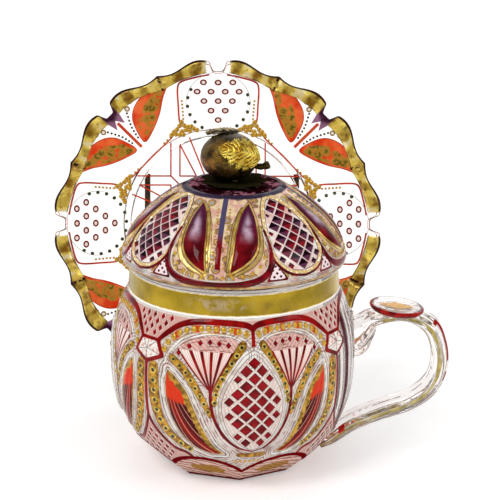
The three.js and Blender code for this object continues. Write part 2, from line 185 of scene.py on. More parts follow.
# %% Finishes
class Finish:
    """A material under construction."""

    def __init__(self, name, tree=None):
        if tree is None:
            self.material = bpy.data.materials.new(name)
            self.material.use_nodes = True
            tree = self.material.node_tree
        self.tree, self.top = tree, None
        self.tree.nodes.clear()

    def node(self, kind, output=0, sockets=None, **settings):
        """One output of a new node of any kind."""
        return add_node(self.tree, kind, sockets or {}, settings).outputs[output]

    def signal(self, *node, **settings):
        """The same, as a number to calculate with."""
        return Signal(self.tree, self.node(*node, **settings))

    def field(self, name):
        """A number kept at each vertex."""
        return self.signal("ShaderNodeAttribute", "Fac", attribute_name=name)

    def parts(self, vector):
        """The three numbers of a vector."""
        return [self.signal("ShaderNodeSeparateXYZ", axis, {"Vector": vector}) for axis in "XYZ"]

    def three(self, name):
        """Three numbers kept at each vertex; pair gives the first two."""
        return self.parts(self.node("ShaderNodeAttribute", "Vector", attribute_name=name))

    def pair(self, name):
        return self.three(name)[:2]

    def place(self):
        return self.node("ShaderNodeTexCoord", "Object")

    def spot(self):
        """The place on the object as three numbers in millimetres."""
        return [part / MM for part in self.parts(self.place())]

    def noise(self, size, detail=2.0):
        """Cloudy values round a half, with grains of about the given size in millimetres."""
        return self.signal("ShaderNodeTexNoise", "Fac", {
            "Vector": self.place(), "Scale": 1 / (size * MM), "Detail": detail})

    def cells(self, size, feature="F1", loose=1.0):
        """Distance from the middle of cells of a size, or from their edges, as a share."""
        return self.signal("ShaderNodeTexVoronoi", "Distance", {
            "Vector": self.place(), "Scale": 1 / (size * MM), "Randomness": loose}, feature=feature)

    def facing(self):
        """0 where the surface faces the eye, and 1 where it turns away."""
        return self.signal("ShaderNodeLayerWeight", "Facing", {"Blend": 0.5})

    def rays(self, *kinds):
        """1 for rays of any of these kinds."""
        return most_of([self.signal("ShaderNodeLightPath", f"Is {kind} Ray") for kind in kinds])

    def mixed(self, share, first, second):
        """A colour between two others."""
        return self.node("ShaderNodeMix", 2, {0: share, 6: first, 7: second}, data_type="RGBA")

    def bump(self, height, depth):
        """A normal that follows a height, in units of depth millimetres."""
        return self.node("ShaderNodeBump", 0, {"Height": height, "Distance": depth * MM})

    def surface(self, colour, **sockets):
        """A Principled shader; its sockets' names have underscores for spaces."""
        named = {name.replace("_", " "): term for name, term in sockets.items()}
        return self.node("ShaderNodeBsdfPrincipled", 0, {"Base Color": colour} | named)

    def lay(self, surface, mask=None):
        """Covers what is there where the mask is 1; the first layer has no mask."""
        if mask is not None:
            surface = self.node("ShaderNodeMixShader", 0, {0: mask, 1: self.top, 2: surface})
        self.top = surface

    def coat(self, colour, mask=None, **sockets):
        """A layer of one Principled shader."""
        self.lay(self.surface(colour, **sockets), mask)

    def done(self):
        """The finished material."""
        add_node(self.tree, "ShaderNodeOutputMaterial", {"Surface": self.top}, {})
        return self.material


# %% [markdown]
# The studio
#
# Clear glass has no colour of its own: it shows what stands round it. A bright sheet behind makes it
# white, and the darker room in front, above and at the sides draws its edges and keeps the ruby
# deep. The floor is a white sheet that keeps the object's shadow.

# %% Floor, surround and lamps
FLOOR_SPAN = 12.0
SKY_FOR_LIGHT = 0.62
SHEET_GLOW = 0.3
WHITE = (1, 1, 1, 1)
SEEN = ("Camera", "Glossy", "Transmission")     # rays that show things, straight or by metal or glass


def studio_floor():
    """A flat white sheet under everything, a hair below the cup's base."""
    mesh = bpy.data.meshes.new("studio_floor")
    corners = [(x * FLOOR_SPAN / 2, y * FLOOR_SPAN / 2, 0) for x, y in ((-1, -1), (1, -1), (1, 1), (-1, 1))]
    mesh.from_pydata(corners, [], [(0, 1, 2, 3)])
    mesh.transform(Matrix.Translation((0, 0, -0.1 * MM)))
    sheet = bpy.data.objects.new("studio_floor", mesh)
    bpy.context.scene.collection.objects.link(sheet)
    f = Finish("white_sheet")
    plain = f.surface((0.86, 0.86, 0.86, 1), Roughness=0.8, Specular_IOR_Level=0.1)
    glow = f.node("ShaderNodeEmission", 0, {"Color": WHITE, "Strength": f.rays(*SEEN) * SHEET_GLOW})
    f.lay(f.node("ShaderNodeAddShader", 0, {0: plain, 1: glow}))
    mesh.materials.append(f.done())


def studio_surround():
    """A world that lights softly and shows white, with a darker ceiling for glass and metal."""
    world = bpy.data.worlds.new("studio")
    world.use_nodes = True
    f = Finish("studio", world.node_tree)
    across, ahead, up = f.parts(f.node("ShaderNodeTexCoord", "Generated"))
    ceiling = up.rise(0.45, 0.8) * 0.8
    sides = abs(across).rise(0.72, 0.9) * 0.8
    front = ahead.rise(0.0, -0.35) * 0.82
    shown = 1 - most_of([ceiling, sides, front]) * (1 - f.rays("Camera"))
    strength = f.rays(*SEEN) * (shown - SKY_FOR_LIGHT) + SKY_FOR_LIGHT
    light = f.node("ShaderNodeBackground", 0, {"Color": WHITE, "Strength": strength})
    add_node(f.tree, "ShaderNodeOutputWorld", {"Surface": light}, {})
    bpy.context.scene.world = world


def soft_lamp(name, place, size, watts):
    """A square lamp that looks at the cup's middle."""
    lamp = bpy.data.lights.new(name, "AREA")
    lamp.size, lamp.energy = size, watts
    holder = bpy.data.objects.new(name, lamp)
    holder.location = place
    holder.rotation_euler = (Vector((0, 0, 0.08)) - Vector(place)).to_track_quat("-Z", "Y").to_euler()
    bpy.context.scene.collection.objects.link(holder)


studio_floor()
studio_surround()
soft_lamp("key", (-0.9, -1.0, 1.5), size=0.7, watts=14)
soft_lamp("fill", (1.3, -0.7, 0.9), size=0.8, watts=5)
soft_lamp("back", (0.2, 1.4, 1.1), size=1.0, watts=5)
print("stage set")

# %% [markdown]
# Surfaces from rings
#
# Each glass body is turned, then cut. The grid has one ring of points for each step along the
# profile, with the same count in each. Numbers kept at the points say how far each lies from the
# edge of a leaf, a line or a band, and the finish draws the edge from them.

# %% Ring meshes
FAR = 9.0       # a distance well outside every outline


def xyz(x, y, z=0.0):
    """Points from their three numbers, which may be arrays of different shapes."""
    return np.stack(np.broadcast_arrays(x, y, z), -1)


def full_turn(points):
    """Angles that go once round."""
    return np.linspace(0, 2 * np.pi, points, endpoint=False)


def turned(profile, points):
    """Rings of a turned shape about the upright axis, from its radii and heights."""
    r, z = np.array(profile).T[..., None]
    angle = full_turn(points)
    return xyz(r * np.cos(angle), r * np.sin(angle), z)


def add_mesh(name, vertices, faces, body, finish, replaces=None, sharp=38):
    """One closed piece at the origin, and the body that carries it."""
    mesh = bpy.data.meshes.new(name)
    mesh.from_pydata(np.asarray(vertices, float) * MM, [], faces)
    mesh.materials.append(finish)
    mesh.shade_smooth()
    mesh.set_sharp_from_angle(angle=math.radians(sharp))
    piece = bpy.data.objects.new(name, mesh)
    bpy.context.scene.collection.objects.link(piece)
    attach(piece, body)
    if replaces:
        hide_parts(replaces)
    print(name, len(mesh.vertices), "vertices", len(mesh.polygons), "faces")
    return piece


def ring_faces(rings, points, looped):
    """Quads between neighbouring rings. A looped set joins its last ring to its first; another is
    closed at each end by a fan to one more vertex."""
    index = np.arange(rings * points).reshape(rings, points)
    low = index if looped else index[:-1]
    high = np.roll(index, -1, 0) if looped else index[1:]
    quads = np.stack([low, np.roll(low, -1, 1), np.roll(high, -1, 1), high], -1).reshape(-1, 4).tolist()
    if looped:
        return quads
    first, last = index[0], index[-1]
    fans = [xyz(rings * points, np.roll(first, -1), first), xyz(rings * points + 1, last, np.roll(last, -1))]
    return quads + np.concatenate(fans).tolist()


def ring_mesh(name, rings, body, finish, replaces=None, looped=False, fields=None, sharp=38):
    """A closed surface through rings, an array of (ring, point, 3) in millimetres."""
    count, points = rings.shape[:2]
    vertices = rings.reshape(-1, 3)
    if not looped:
        vertices = np.concatenate([vertices, [rings[0].mean(0)], [rings[-1].mean(0)]])
    faces = ring_faces(count, points, looped)
    piece = add_mesh(name, vertices, faces, body, finish, replaces, sharp)
    for field, values in (fields or {}).items():
        width = 1 if values.ndim == 2 else 3
        flat = values.reshape(-1, width)
        if not looped:
            flat = np.concatenate([flat, values[0, :1].reshape(1, width), values[-1, :1].reshape(1, width)])
        keep_field(piece.data, field, flat)


def keep_field(mesh, name, values):
    """Keeps a number, or three, at each vertex, from an array of (vertex, width)."""
    kind, key = ("FLOAT", "value") if values.shape[1] == 1 else ("FLOAT_VECTOR", "vector")
    mesh.attributes.new(name, kind, "POINT").data.foreach_set(key, values.astype(np.float32).ravel())


def wrapped(drawing, relief, fold):
    """The fields and the relief of a drawing, mirrored from panel to panel."""
    swell = relief(drawing)[:, fold]
    print("relief from", round(swell.min(), 2), "to", round(swell.max(), 2), "mm")
    return {name: values[:, fold] for name, values in drawing.items()}, swell


def spread(known, before, total, negative):
    """Fields of the outer wall, with a far value on all other rings, negative for masks that rise
    with the value."""
    whole = {}
    for name, values in known.items():
        whole[name] = np.full((total, *values.shape[1:]), -FAR if name in negative else FAR)
        whole[name][before:before + len(values)] = values
    return whole


# %% [markdown]
# Drawing with distances
#
# The cutter's pattern is a few smooth outlines. Each is drawn on the unrolled half of one panel from
# a handful of points, and the signed distance to it, negative inside, is worked out for every point
# of the grid. Panels then repeat by mirroring, as they do on the glass.

# %% Curves and distances
def flowing(points, closed=False, steps=8):
    """A smooth curve through the points: on each span, the cubic whose slope at a point is half the
    way between its neighbours (Catmull-Rom)."""
    p = np.asarray(points, float)
    around = np.concatenate([p[-1:], p, p[:2]]) if closed else np.concatenate([p[:1], p, p[-1:]])
    t = np.linspace(0, 1, steps, endpoint=False)[None, :, None]
    a, b, c, d = (around[i:len(around) - 3 + i, None] for i in range(4))
    curve = 0.5 * (2 * b + (c - a) * t + (2 * a - 5 * b + 4 * c - d) * t**2
                   + (3 * b - a - 3 * c + d) * t**3)
    ends = p[:1] if closed else p[-1:]
    return np.concatenate([curve.reshape(-1, p.shape[1]), ends])


def walk(path):
    """Length from a path's start to each of its points."""
    return np.concatenate([[0], np.cumsum(np.linalg.norm(np.diff(path, axis=0), axis=1))])


def to_path(points, path):
    """Distance from each point to a path of straight steps, and the length along it to there."""
    start, step = path[:-1], np.diff(path, axis=0)
    away = points[..., None, :] - start
    share = np.clip((away * step).sum(-1) / np.maximum((step**2).sum(-1), 1e-12), 0, 1)
    gap = np.linalg.norm(away - share[..., None] * step, axis=-1)
    best = gap.argmin(-1)[..., None]
    along = walk(path)[:-1] + share * np.linalg.norm(step, axis=1)
    return gap.min(-1), np.take_along_axis(along, best, -1)[..., 0]


def within(points, outline):
    """True inside a closed outline, where a line to the right crosses it an odd number of times."""
    x, y = points[..., 0, None], points[..., 1, None]
    (x0, y0), (x1, y1) = outline.T, np.roll(outline, -1, 0).T
    crossing = x0 + (y - y0) * (x1 - x0) / np.where(y1 == y0, 1e-9, y1 - y0)
    return (((y0 > y) != (y1 > y)) & (x < crossing)).sum(-1) % 2 == 1


def as_drawn(points):
    return points


def to_outline(points, outline, laid=as_drawn):
    """Signed distance to a closed outline, negative inside, between the places that laid gives to
    points of the drawing."""
    gap, _ = to_path(laid(points), laid(np.concatenate([outline, outline[:1]])))
    return np.where(within(points, outline), -gap, gap)


def to_band(points, band, laid=as_drawn):
    """Signed distance to a band, negative inside, from its points of across, up and half width."""
    path = flowing(band)
    line = laid(path[:, :2])
    gap, along = to_path(laid(points), line)
    return gap - np.interp(along, walk(line), path[:, 2])


def step_up(values, low, high):
    """0 below low, 1 above high, and the cubic step between."""
    t = np.clip((values - low) / (high - low), 0, 1)
    return t * t * (3 - 2 * t)


def hump(values, middle, half):
    """A bell, 1 at the middle, that falls as the exponential of the square."""
    return np.exp(-((values - middle) / half) ** 2)


def mirrored(points, axis=0.0):
    """The points and their mirror images about an upright line, as one closed loop."""
    p = np.asarray(points, float)
    return np.concatenate([p, (p * [-1, 1] + [2 * axis, 0])[::-1]])


# %% [markdown]
# Small shapes in numbers
#
# The diamonds that the grinding wheel leaves standing, and the beads that the gilder sets in rows,
# are one small closed shape each, copied to many places and laid on the wall it belongs to. A shape
# is its corners, its faces and the angle from which its edges are sharp.

# %% Stamps
SMALLEST_CUT = 0.9          # half size of the smallest diamond that is cut


def pyramid(top, height, sink=0.25):
    """A diamond with its top cut flat, whose corners are at a share of the lower ones."""
    cross = np.array([(1, 0), (0, 1), (-1, 0), (0, -1)], float)
    corners = np.concatenate([xyz(*cross.T, -sink), xyz(*(cross * top).T, height)])
    sides = [(k, (k + 1) % 4, 4 + (k + 1) % 4, 4 + k) for k in range(4)]
    return corners, sides + [(3, 2, 1, 0), (4, 5, 6, 7)], 20


def bead(profile, points=10):
    """A round shape from its radii and heights, from the sunk edge to the middle."""
    rings = turned(profile, points)
    corners = np.concatenate([rings.reshape(-1, 3), [rings[0].mean(0)], [rings[-1].mean(0)]])
    return corners, ring_faces(len(profile), points, False), 38


def stamped(name, shape, places, ground, body, finish):
    """Copies of a shape at rows of across, up and two sizes; ground gives the points in space."""
    corners, faces, sharp = shape
    flat = places[:, None, :2] + corners[None, :, :2] * places[:, None, 2:4]
    lift = corners[None, :, 2] * (places[:, 2] / places[:, 2].max())[:, None] ** 0.5
    vertices = ground(flat[..., 0], flat[..., 1], lift).reshape(-1, 3)
    step = len(corners)
    whole = [tuple(k * step + i for i in face) for k in range(len(places)) for face in faces]
    piece = add_mesh(name, vertices, whole, body, finish, sharp=sharp)
    keep_field(piece.data, "local", np.tile(corners, (len(places), 1)))


def stamp_panels(panels, ground, body, kinds):
    """One piece on each panel for every kind: a name, a shape, the places, or a function of the
    panel that gives them, and a finish."""
    for panel in panels:
        for name, shape, places, finish in kinds:
            here = places(panel) if callable(places) else places
            stamped(f"{name}_{panel}", shape, here, ground(panel), body, finish)


def sized(points, across, up=None):
    """The points with the same two sizes added to each."""
    points = np.asarray(points, float)
    return np.column_stack([points, np.full(len(points), across), np.full(len(points), up or across)])


def both_sides(places):
    """The places and their mirror images about the panel's middle."""
    return np.concatenate([places, (places * [-1, 1, 1, 1])[np.abs(places[:, 0]) > 0.01]])


def both_halves(points, across, up=None):
    """Places of a size at the points and at their mirror images."""
    return both_sides(sized(points, across, up))


def in_rows(marks, rows):
    """Points from the marks across of each row."""
    return np.concatenate([np.column_stack([m, np.full(len(m), up)]) for m, up in zip(marks, rows)])


def quincunx(across, up, left, right, low, high):
    """Points in rows a step up from each other, with every other row half a pitch across."""
    rows = np.arange(low, high, up)
    return in_rows([np.arange(left + (k % 2) * across / 2, right, across) for k in range(len(rows))], rows)


def paced(path, pitch, start=0.0):
    """Points along a path at an even pitch."""
    length = walk(path)
    marks = np.arange(start, length[-1], pitch)
    return np.column_stack([np.interp(marks, length, path[:, k]) for k in range(2)])


def fitted(points, outline, border, size):
    """Places inside the outline whose diamonds keep clear of its border, smaller near it: a diamond
    reaches towards it by its half size times the larger slope of the distance, across or up."""
    gap = -to_outline(points, outline)
    slopes = [(to_outline(points + step, outline) + gap) / step.sum() for step in 0.01 * np.eye(2)]
    reach = np.abs(slopes).max(0)
    kept = gap > border + SMALLEST_CUT * reach
    share = np.clip((gap[kept] - border) / (size * reach[kept]), 0, 1)
    return np.column_stack([points[kept], size * share, size * share])


def laid_on(grid, column, row, lift):
    """Points over a wall's grid: the place between the four nearest points, moved along the cross
    product of the grid's two directions."""
    row = np.clip(row, 0, len(grid) - 1.001)
    low, left = np.floor(row).astype(int), np.floor(column).astype(int)
    up, across = (row - low)[..., None], (column - left)[..., None]
    left, right = left % grid.shape[1], (left + 1) % grid.shape[1]
    a, b, c, d = grid[low, left], grid[low, right], grid[low + 1, left], grid[low + 1, right]
    place = (a * (1 - across) + b * across) * (1 - up) + (c * (1 - across) + d * across) * up
    normal = np.cross(b - a + d - c, c - a + d - b)
    return place + lift[..., None] * normal / np.linalg.norm(normal, axis=-1, keepdims=True)


BEAD_SHAPE = bead([(1.0, -0.2), (0.97, 0.12), (0.8, 0.34), (0.62, 0.36), (0.45, 0.22)])
DROP_PROFILE = [(1.0, -0.2), (0.96, 0.1), (0.75, 0.34), (0.4, 0.46)]
DROP_SHAPE = bead(DROP_PROFILE)
print("corners of a bead", len(BEAD_SHAPE[0]))

# %% [markdown]
# The cup's shape
#
# The barrel swells between a narrow heel and a straight neck: two power curves that meet at the
# belly. Eight flat facets are ground round the heel. The pattern has four panels, which were
# marked out by eye and aren't quite equal, so their edges are given as turns from the front.

# %% Cup profile
BELLY, BELLY_HEIGHT = 55.6, 52.0
HEEL, NECK, NECK_HEIGHT = 33.5, 48.0, 83.0
LIP, LIP_HEIGHT = 46.9, 95.9
CUP_WALL, CUP_FLOOR, FLOOR_RADIUS = 4.2, 8.0, 27.0
FACET_CORNER, FACET_SLOPE, FACET_TURN, FACETS = 31.0, 42.0, 5.0, 8
PANEL_FOLDS = [9.3, 55.5, 99.0, 142.4, 186.0, 229.3, 272.8, 316.3, 369.3]
HALF_PANEL = 48.1           # unrolled width of half a panel in the drawing
HALF_STEPS = 60             # columns in half a panel
HANDLE_PANEL = (60, 180)    # columns from one edge of the handle's panel to the other


def barrel(z):
    """Outside radius: the belly's, less the drop to the heel or neck times a power of the share of
    the way there, then a straight line to the lip."""
    below = BELLY - (BELLY - HEEL) * np.clip((BELLY_HEIGHT - z) / BELLY_HEIGHT, 0, 1) ** 2.5
    above = BELLY - (BELLY - NECK) * np.clip((z - BELLY_HEIGHT) / (NECK_HEIGHT - BELLY_HEIGHT), 0, 1) ** 2.3
    neck = NECK + (LIP - NECK) * (z - NECK_HEIGHT) / (LIP_HEIGHT - NECK_HEIGHT)
    return np.where(z < BELLY_HEIGHT, below, np.where(z < NECK_HEIGHT, above, neck))


def hollow(z):
    """Inside radius: a wall's thickness in from the barrel, drawn in to the flat floor."""
    belly = BELLY - CUP_WALL
    share = np.clip((BELLY_HEIGHT - z) / (BELLY_HEIGHT - CUP_FLOOR), 0, 1)
    low = belly - (belly - FLOOR_RADIUS) * share ** 3.2
    return np.where(z > BELLY_HEIGHT, barrel(z) - CUP_WALL, low)


def facet_reach(turn, z):
    """Distance to the nearest heel facet's plane, which leans out with height, over the cosine of
    the turn from the facet's middle."""
    pitch = 360 / FACETS
    off = (turn - FACET_TURN) % pitch - pitch / 2
    flat = FACET_CORNER * math.cos(math.pi / FACETS) + z / math.tan(math.radians(FACET_SLOPE))
    return flat / np.cos(np.radians(off))


def around(turn, radius, z):
    """Points at a turn from the front towards the handle, a radius and a height."""
    angle = np.radians(turn)
    return xyz(radius * np.sin(angle), -radius * np.cos(angle), z)


def mirror_columns(steps):
    """Columns round a body of eight half panels, and for each the one in the drawing it repeats."""
    every = np.arange(8 * steps)
    return every, steps - np.abs(steps - every % (2 * steps))


columns, folded = mirror_columns(HALF_STEPS)
cup_turns = np.interp(columns / HALF_STEPS, range(9), PANEL_FOLDS)
cup_rows = np.linspace(0.4, LIP_HEIGHT - 0.7, 128)
drawn_x, drawn_z = np.meshgrid(np.linspace(0, HALF_PANEL, HALF_STEPS + 1), cup_rows)
print("cup grid", len(cup_rows), "rows", len(columns), "columns")

# %% [markdown]
# The cup's pattern
#
# One half of a panel, drawn on a flat sheet whose left edge is the panel's middle: an egg filled
# with a lattice, a fan, a long leaf, and bands of gilt between them, all inside a ruby outline
# with a notched corner. The points are read as millimetres across and up.

# %% Cup drawing
SCALLOP = [(0, 79), (2.5, 80.4), (8.4, 81.3), (20, 81.6), (28.4, 80.8), (34.5, 78.6), (39.2, 75), (43, 71.3)]
PENTAGON = [(48.1, 71.3), (43, 71.3), (39.9, 65), (48.1, 61.3)]
EDGE_FOOT = [(48.1, 36), (45.9, 31), (42, 26), (36.8, 21.3), (31.1, 19.6), (28, 17)]
EGG = [(0, 70.8), (4.2, 68.2), (8.2, 63), (11.8, 56.8), (14.2, 50.5), (14.8, 45), (13.8, 38), (11.2, 31.3),
       (7.2, 26), (3.2, 23.2), (0, 22.5)]
LEAF_BACK = [(37.1, 60), (38, 53), (37.3, 45), (34.9, 36.5), (31, 29), (25.7, 23.6), (19.3, 20.9),
             (12.5, 20.6)]
LEAF_FRONT = [(12.5, 20.6), (16.6, 24.2), (19.4, 29), (22, 35), (24.9, 43), (28.2, 51), (33, 57), (37.1, 60)]
MIDRIB = [(36.5, 59), (34, 49), (29.7, 38), (23.5, 28.5), (14, 21.3)]
ARCH = [(38.8, 61), (36.4, 67.5), (31.4, 73.2), (24.8, 76.3), (17.6, 77.6), (8.6, 76.6), (4, 74), (1, 70.5)]
STEM = [(18, 52), (17.8, 46), (17, 41), (14.9, 35), (11.3, 29), (6.7, 24.8), (0, 22.6)]
FAN_APEX = (17.9, 51.5)
FAN_FROM, FAN_TO = -27.0, 40.0      # degrees from upright, towards and away from the panel's middle
FAN_TOP = 69.6
GILT_BANDS = {
    "egg_side": [(4.6, 72.6, 1.7), (8.4, 66.5, 1.9), (12.2, 60, 1.8), (15, 54, 1.4), (16.4, 46, 0.8)],
    "edge_side": [(44.2, 59.5, 2.4), (44, 52, 2.7), (43.4, 44, 2.7), (42, 37, 2.5), (38.7, 30.5, 2.2),
                  (34, 25.6, 1.9), (28.6, 22, 1.2)],
    "leaf_side": [(35.2, 65.4, 1.5), (29, 60.4, 1.8), (24.2, 53.2, 1.6), (20.4, 46, 1.2), (18.2, 40.5, 0.7)],
    "under_egg": [(-6, 20.4, 1.1), (0, 20, 1.2), (6, 20.4, 1.1)],
}
SCALLOP_BAND = [(1.8, 76.6, 1.4), (8.4, 78.4, 1.7), (20, 78.8, 1.7), (28, 77.9, 1.7), (33.3, 75.8, 1.7),
                (37.4, 72, 1.6), (39.4, 68, 1.2)]
FLUTE_PITCH = 6.0

# The panel's outline has a foot that is hidden below the heel facets.
PANEL = mirrored(np.concatenate([flowing(SCALLOP), PENTAGON[2:], flowing(EDGE_FOOT), [(24, 8), (0, 5)]]))
CORNER = mirrored(PENTAGON, HALF_PANEL)


def beside(points, path):
    """Signed distance to an open path and the length along it: the sign is that of the cross
    product of the nearest step with the way from its start to the point."""
    gap, along = to_path(points, path)
    steps = np.diff(path, axis=0)
    nearest = np.clip(np.searchsorted(walk(path), along, side="right") - 1, 0, len(steps) - 1)
    away = points - path[nearest]
    side = steps[nearest, 0] * away[..., 1] - steps[nearest, 1] * away[..., 0]
    return gap * np.sign(side), along


def cup_fields(points):
    """The pattern's numbers at points of the drawing."""
    outlines = {
        "panel": PANEL,
        "pentagon": CORNER,
        "egg": mirrored(flowing(EGG)),
        "leaf": np.concatenate([flowing(LEAF_BACK), flowing(LEAF_FRONT)]),
        "arch": np.concatenate([flowing(ARCH), [(1, 45), (38.8, 45)]]),
        "stem": mirrored(np.concatenate([[(18, 95)], flowing(STEM)])),
    }
    off = points - FAN_APEX
    return {name: to_outline(points, outline) for name, outline in outlines.items()} | {
        "gilt": np.min([to_band(points, band) for band in GILT_BANDS.values()], axis=0),
        "scallop": to_band(points, SCALLOP_BAND),
        "fluted": np.zeros(points.shape[:2]),
        "rib": xyz(*beside(points, flowing(MIDRIB))),
        "fan": xyz(np.degrees(np.arctan2(off[..., 0], off[..., 1])), np.linalg.norm(off, axis=-1)),
        "drawn": xyz(points[..., 0], points[..., 1]),
    }


def plain_fields(like):
    """The handle's panel: the outline, the notched corners and long flutes."""
    kept = ("panel", "pentagon", "drawn")
    bare = {name: values if name in kept else np.full_like(values, FAR) for name, values in like.items()}
    return bare | {"fluted": np.ones_like(like["fluted"])}


def cup_relief(f):
    """Height of the cut surface over the barrel: ridges under the ruby lines, a raised egg and
    leaf, grooves along the arch and round the leaf, and flutes, each a hollow of half a cosine."""
    x, z = f["drawn"][..., 0], f["drawn"][..., 1]
    ridge = 0.4 * np.clip(1 - (f["panel"] / 1.1) ** 2, 0, 1)
    star = 0.9 * np.clip(-f["pentagon"] / 5, 0, 1)
    egg = 1.15 * (1 - step_up(f["egg"], -1.0, 0.5)) - 0.7 * (1 - step_up(f["egg"], -2.4, -1.6))
    groove = 0.35 * hump(f["rib"][..., 0], 0, 0.6) * (f["leaf"] < 0)
    leaf = 0.8 * np.sqrt(np.clip(-f["leaf"] / 5, 0, 1)) - groove
    arch = -0.5 * hump(f["arch"], 0, 0.8) * step_up(z, 61, 63)
    moat = -0.45 * hump(f["leaf"], 1.2, 0.7)
    flutes = -0.8 * np.abs(np.cos(np.pi * x / FLUTE_PITCH)) * f["fluted"] * step_up(-f["panel"], 0.6, 1.6)
    flutes = flutes * step_up(z, 14, 22) * (1 - step_up(z, 74, 79))
    return np.where(f["egg"] < 0.5, egg, ridge + star + leaf + arch + moat + flutes)


def unfolded(decorated, undecorated):
    """Repeats the half panel round the cup, mirroring every other one."""
    in_handle_panel = (columns >= HANDLE_PANEL[0]) & (columns <= HANDLE_PANEL[1])
    pick = in_handle_panel.reshape((1, -1) + (1,) * (decorated.ndim - 2))
    return np.where(pick, undecorated[:, folded], decorated[:, folded])


drawing = cup_fields(np.stack([drawn_x, drawn_z], -1))
plain = plain_fields(drawing)
cup_field = {name: unfolded(drawing[name], plain[name]) for name in drawing}
relief = unfolded(cup_relief(drawing), cup_relief(plain))
wall_turn, wall_z = np.meshgrid(cup_turns, cup_rows)
bare = barrel(wall_z)
reach = facet_reach(wall_turn, wall_z)
slope_z = np.gradient(bare - reach, cup_rows, axis=0)
slope_x = np.gradient(bare - reach, axis=1) / np.gradient(np.radians(wall_turn) * bare, axis=1)
cup_field["facet"] = (reach - bare) / np.hypot(slope_z, slope_x)
wall_radius = np.minimum(bare + relief, reach)
print("relief from", round(relief.min(), 2), "to", round(relief.max(), 2), "mm")

# %% [markdown]
# The cup's finish
#
# From below: clear glass with a blush of ruby in it; a thin pink stain in the fans and corners;
# burnished gilding in the bands and on the heel; deep ruby in the leaves and along the outlines;
# and the gilt band round the neck. Each layer covers the one below where its mask is 1.

# %% Glass and gilding
CLEAR, MILK, ROSE = "fffaf6", "fff8f0", "e0988a"
RUBY_DARK, RUBY_DEEP, RUBY_BRIGHT, FLAME = "2c0008", "66060a", "9a100e", "de3612"
HAIRLINE, EDGE_SHADE = "54302a", "5c4c44"
GLASS_INDEX = 1.5
GLASS_SHADE = (0.93, 0.9, 0.9, 1.0)     # what a surface of clear glass lets through
# painted light: ground glass glows a little in its own colour, for the sheet's light coming through it
GROUND_GLOW = 0.1                       # light of the sheet that comes through ground glass
RUBY_GLOSS = 0.12


def clear_glass(f, tint=CLEAR, index=GLASS_INDEX, edge=0.8):
    """Polished glass, the lowest layer, darker where it turns away. Light for other surfaces goes
    through unbent, so what lies behind isn't in its shade."""
    colour = f.mixed(f.facing().rise(0.82, 0.99) * edge, tint, EDGE_SHADE)
    f.coat(colour, Roughness=0.03, IOR=index, Transmission_Weight=1.0)
    f.lay(f.node("ShaderNodeBsdfTransparent", 0, {"Color": GLASS_SHADE}), f.rays("Shadow", "Diffuse"))


def frost(f, colour, mask, rough=0.3, **more):
    """Cut facets too small to see, which scatter the light and look white or pink, with a little painted
    glow.
    """
    f.coat(colour, mask, Roughness=rough, IOR=GLASS_INDEX, Emission_Color=colour,
           Emission_Strength=GROUND_GLOW, **more)


def ruby(f, colour, mask):
    """The ruby casing, thick enough to hide what is behind it."""
    f.coat(colour, mask, Roughness=0.06, IOR=GLASS_INDEX, Specular_IOR_Level=RUBY_GLOSS)


def gild(f, light, dark, mask, grain=1.2):
    """Fired gold, rubbed thinner here and there."""
    cloud = f.noise(grain, 3).rise(0.35, 0.65)
    f.coat(f.mixed(cloud, dark, light), mask, Metallic=0.55, Roughness=cloud * -0.12 + 0.4,
           Normal=f.bump(cloud, 0.12))


def stroke(x, y, ends, half):
    """1 on a line between two ends: the distance from it is a cross product, and the length along
    it a dot product."""
    (x0, y0), (x1, y1) = ends
    length = math.hypot(x1 - x0, y1 - y0)
    ux, uy = (x1 - x0) / length, (y1 - y0) / length
    off = (x - x0) * uy - (y - y0) * ux
    along = (x - x0) * ux + (y - y0) * uy
    return abs(off).under(half) * along.rise(-0.3, 0) * along.under(length, 0.2)


def stacked(name, signals, layers):
    """A material from the function that reads its signals and the layers, from below."""
    f = Finish(name)
    s = signals(f)
    for layer in layers:
        layer(f, s)
    return f.done()


def named_fields(f, names):
    return SimpleNamespace(**{name: f.field(name) for name in names.split()})


# %% Cup signals and ground
def cup_signals(f):
    """The numbers kept on the cup's wall, by name, and masks that several layers use."""
    s = named_fields(f, "panel pentagon egg leaf arch stem gilt facet scallop fluted")
    s.across, s.along = f.pair("rib")
    s.angle, s.reach = f.pair("fan")
    s.x, s.z = f.pair("drawn")
    s.outer = s.z.rise(-1, 0)
    s.drawn = s.outer * (1 - s.fluted)
    s.cloud = f.noise(7)
    spread = s.angle.rise(FAN_FROM - 1, FAN_FROM) * s.angle.rise(FAN_TO + 1, FAN_TO)
    s.in_fan = spread * s.z.under(FAN_TOP) * s.reach.under(24) * s.reach.rise(0, 1) * s.drawn
    s.flute = s.x / FLUTE_PITCH % 1
    s.moat = most_of([s.leaf.rise(0, 0.3) * s.leaf.under(2.3), abs(s.arch).under(1.1) * s.z.rise(60, 62),
                      abs(s.egg).under(1.3)]) * s.drawn
    return s


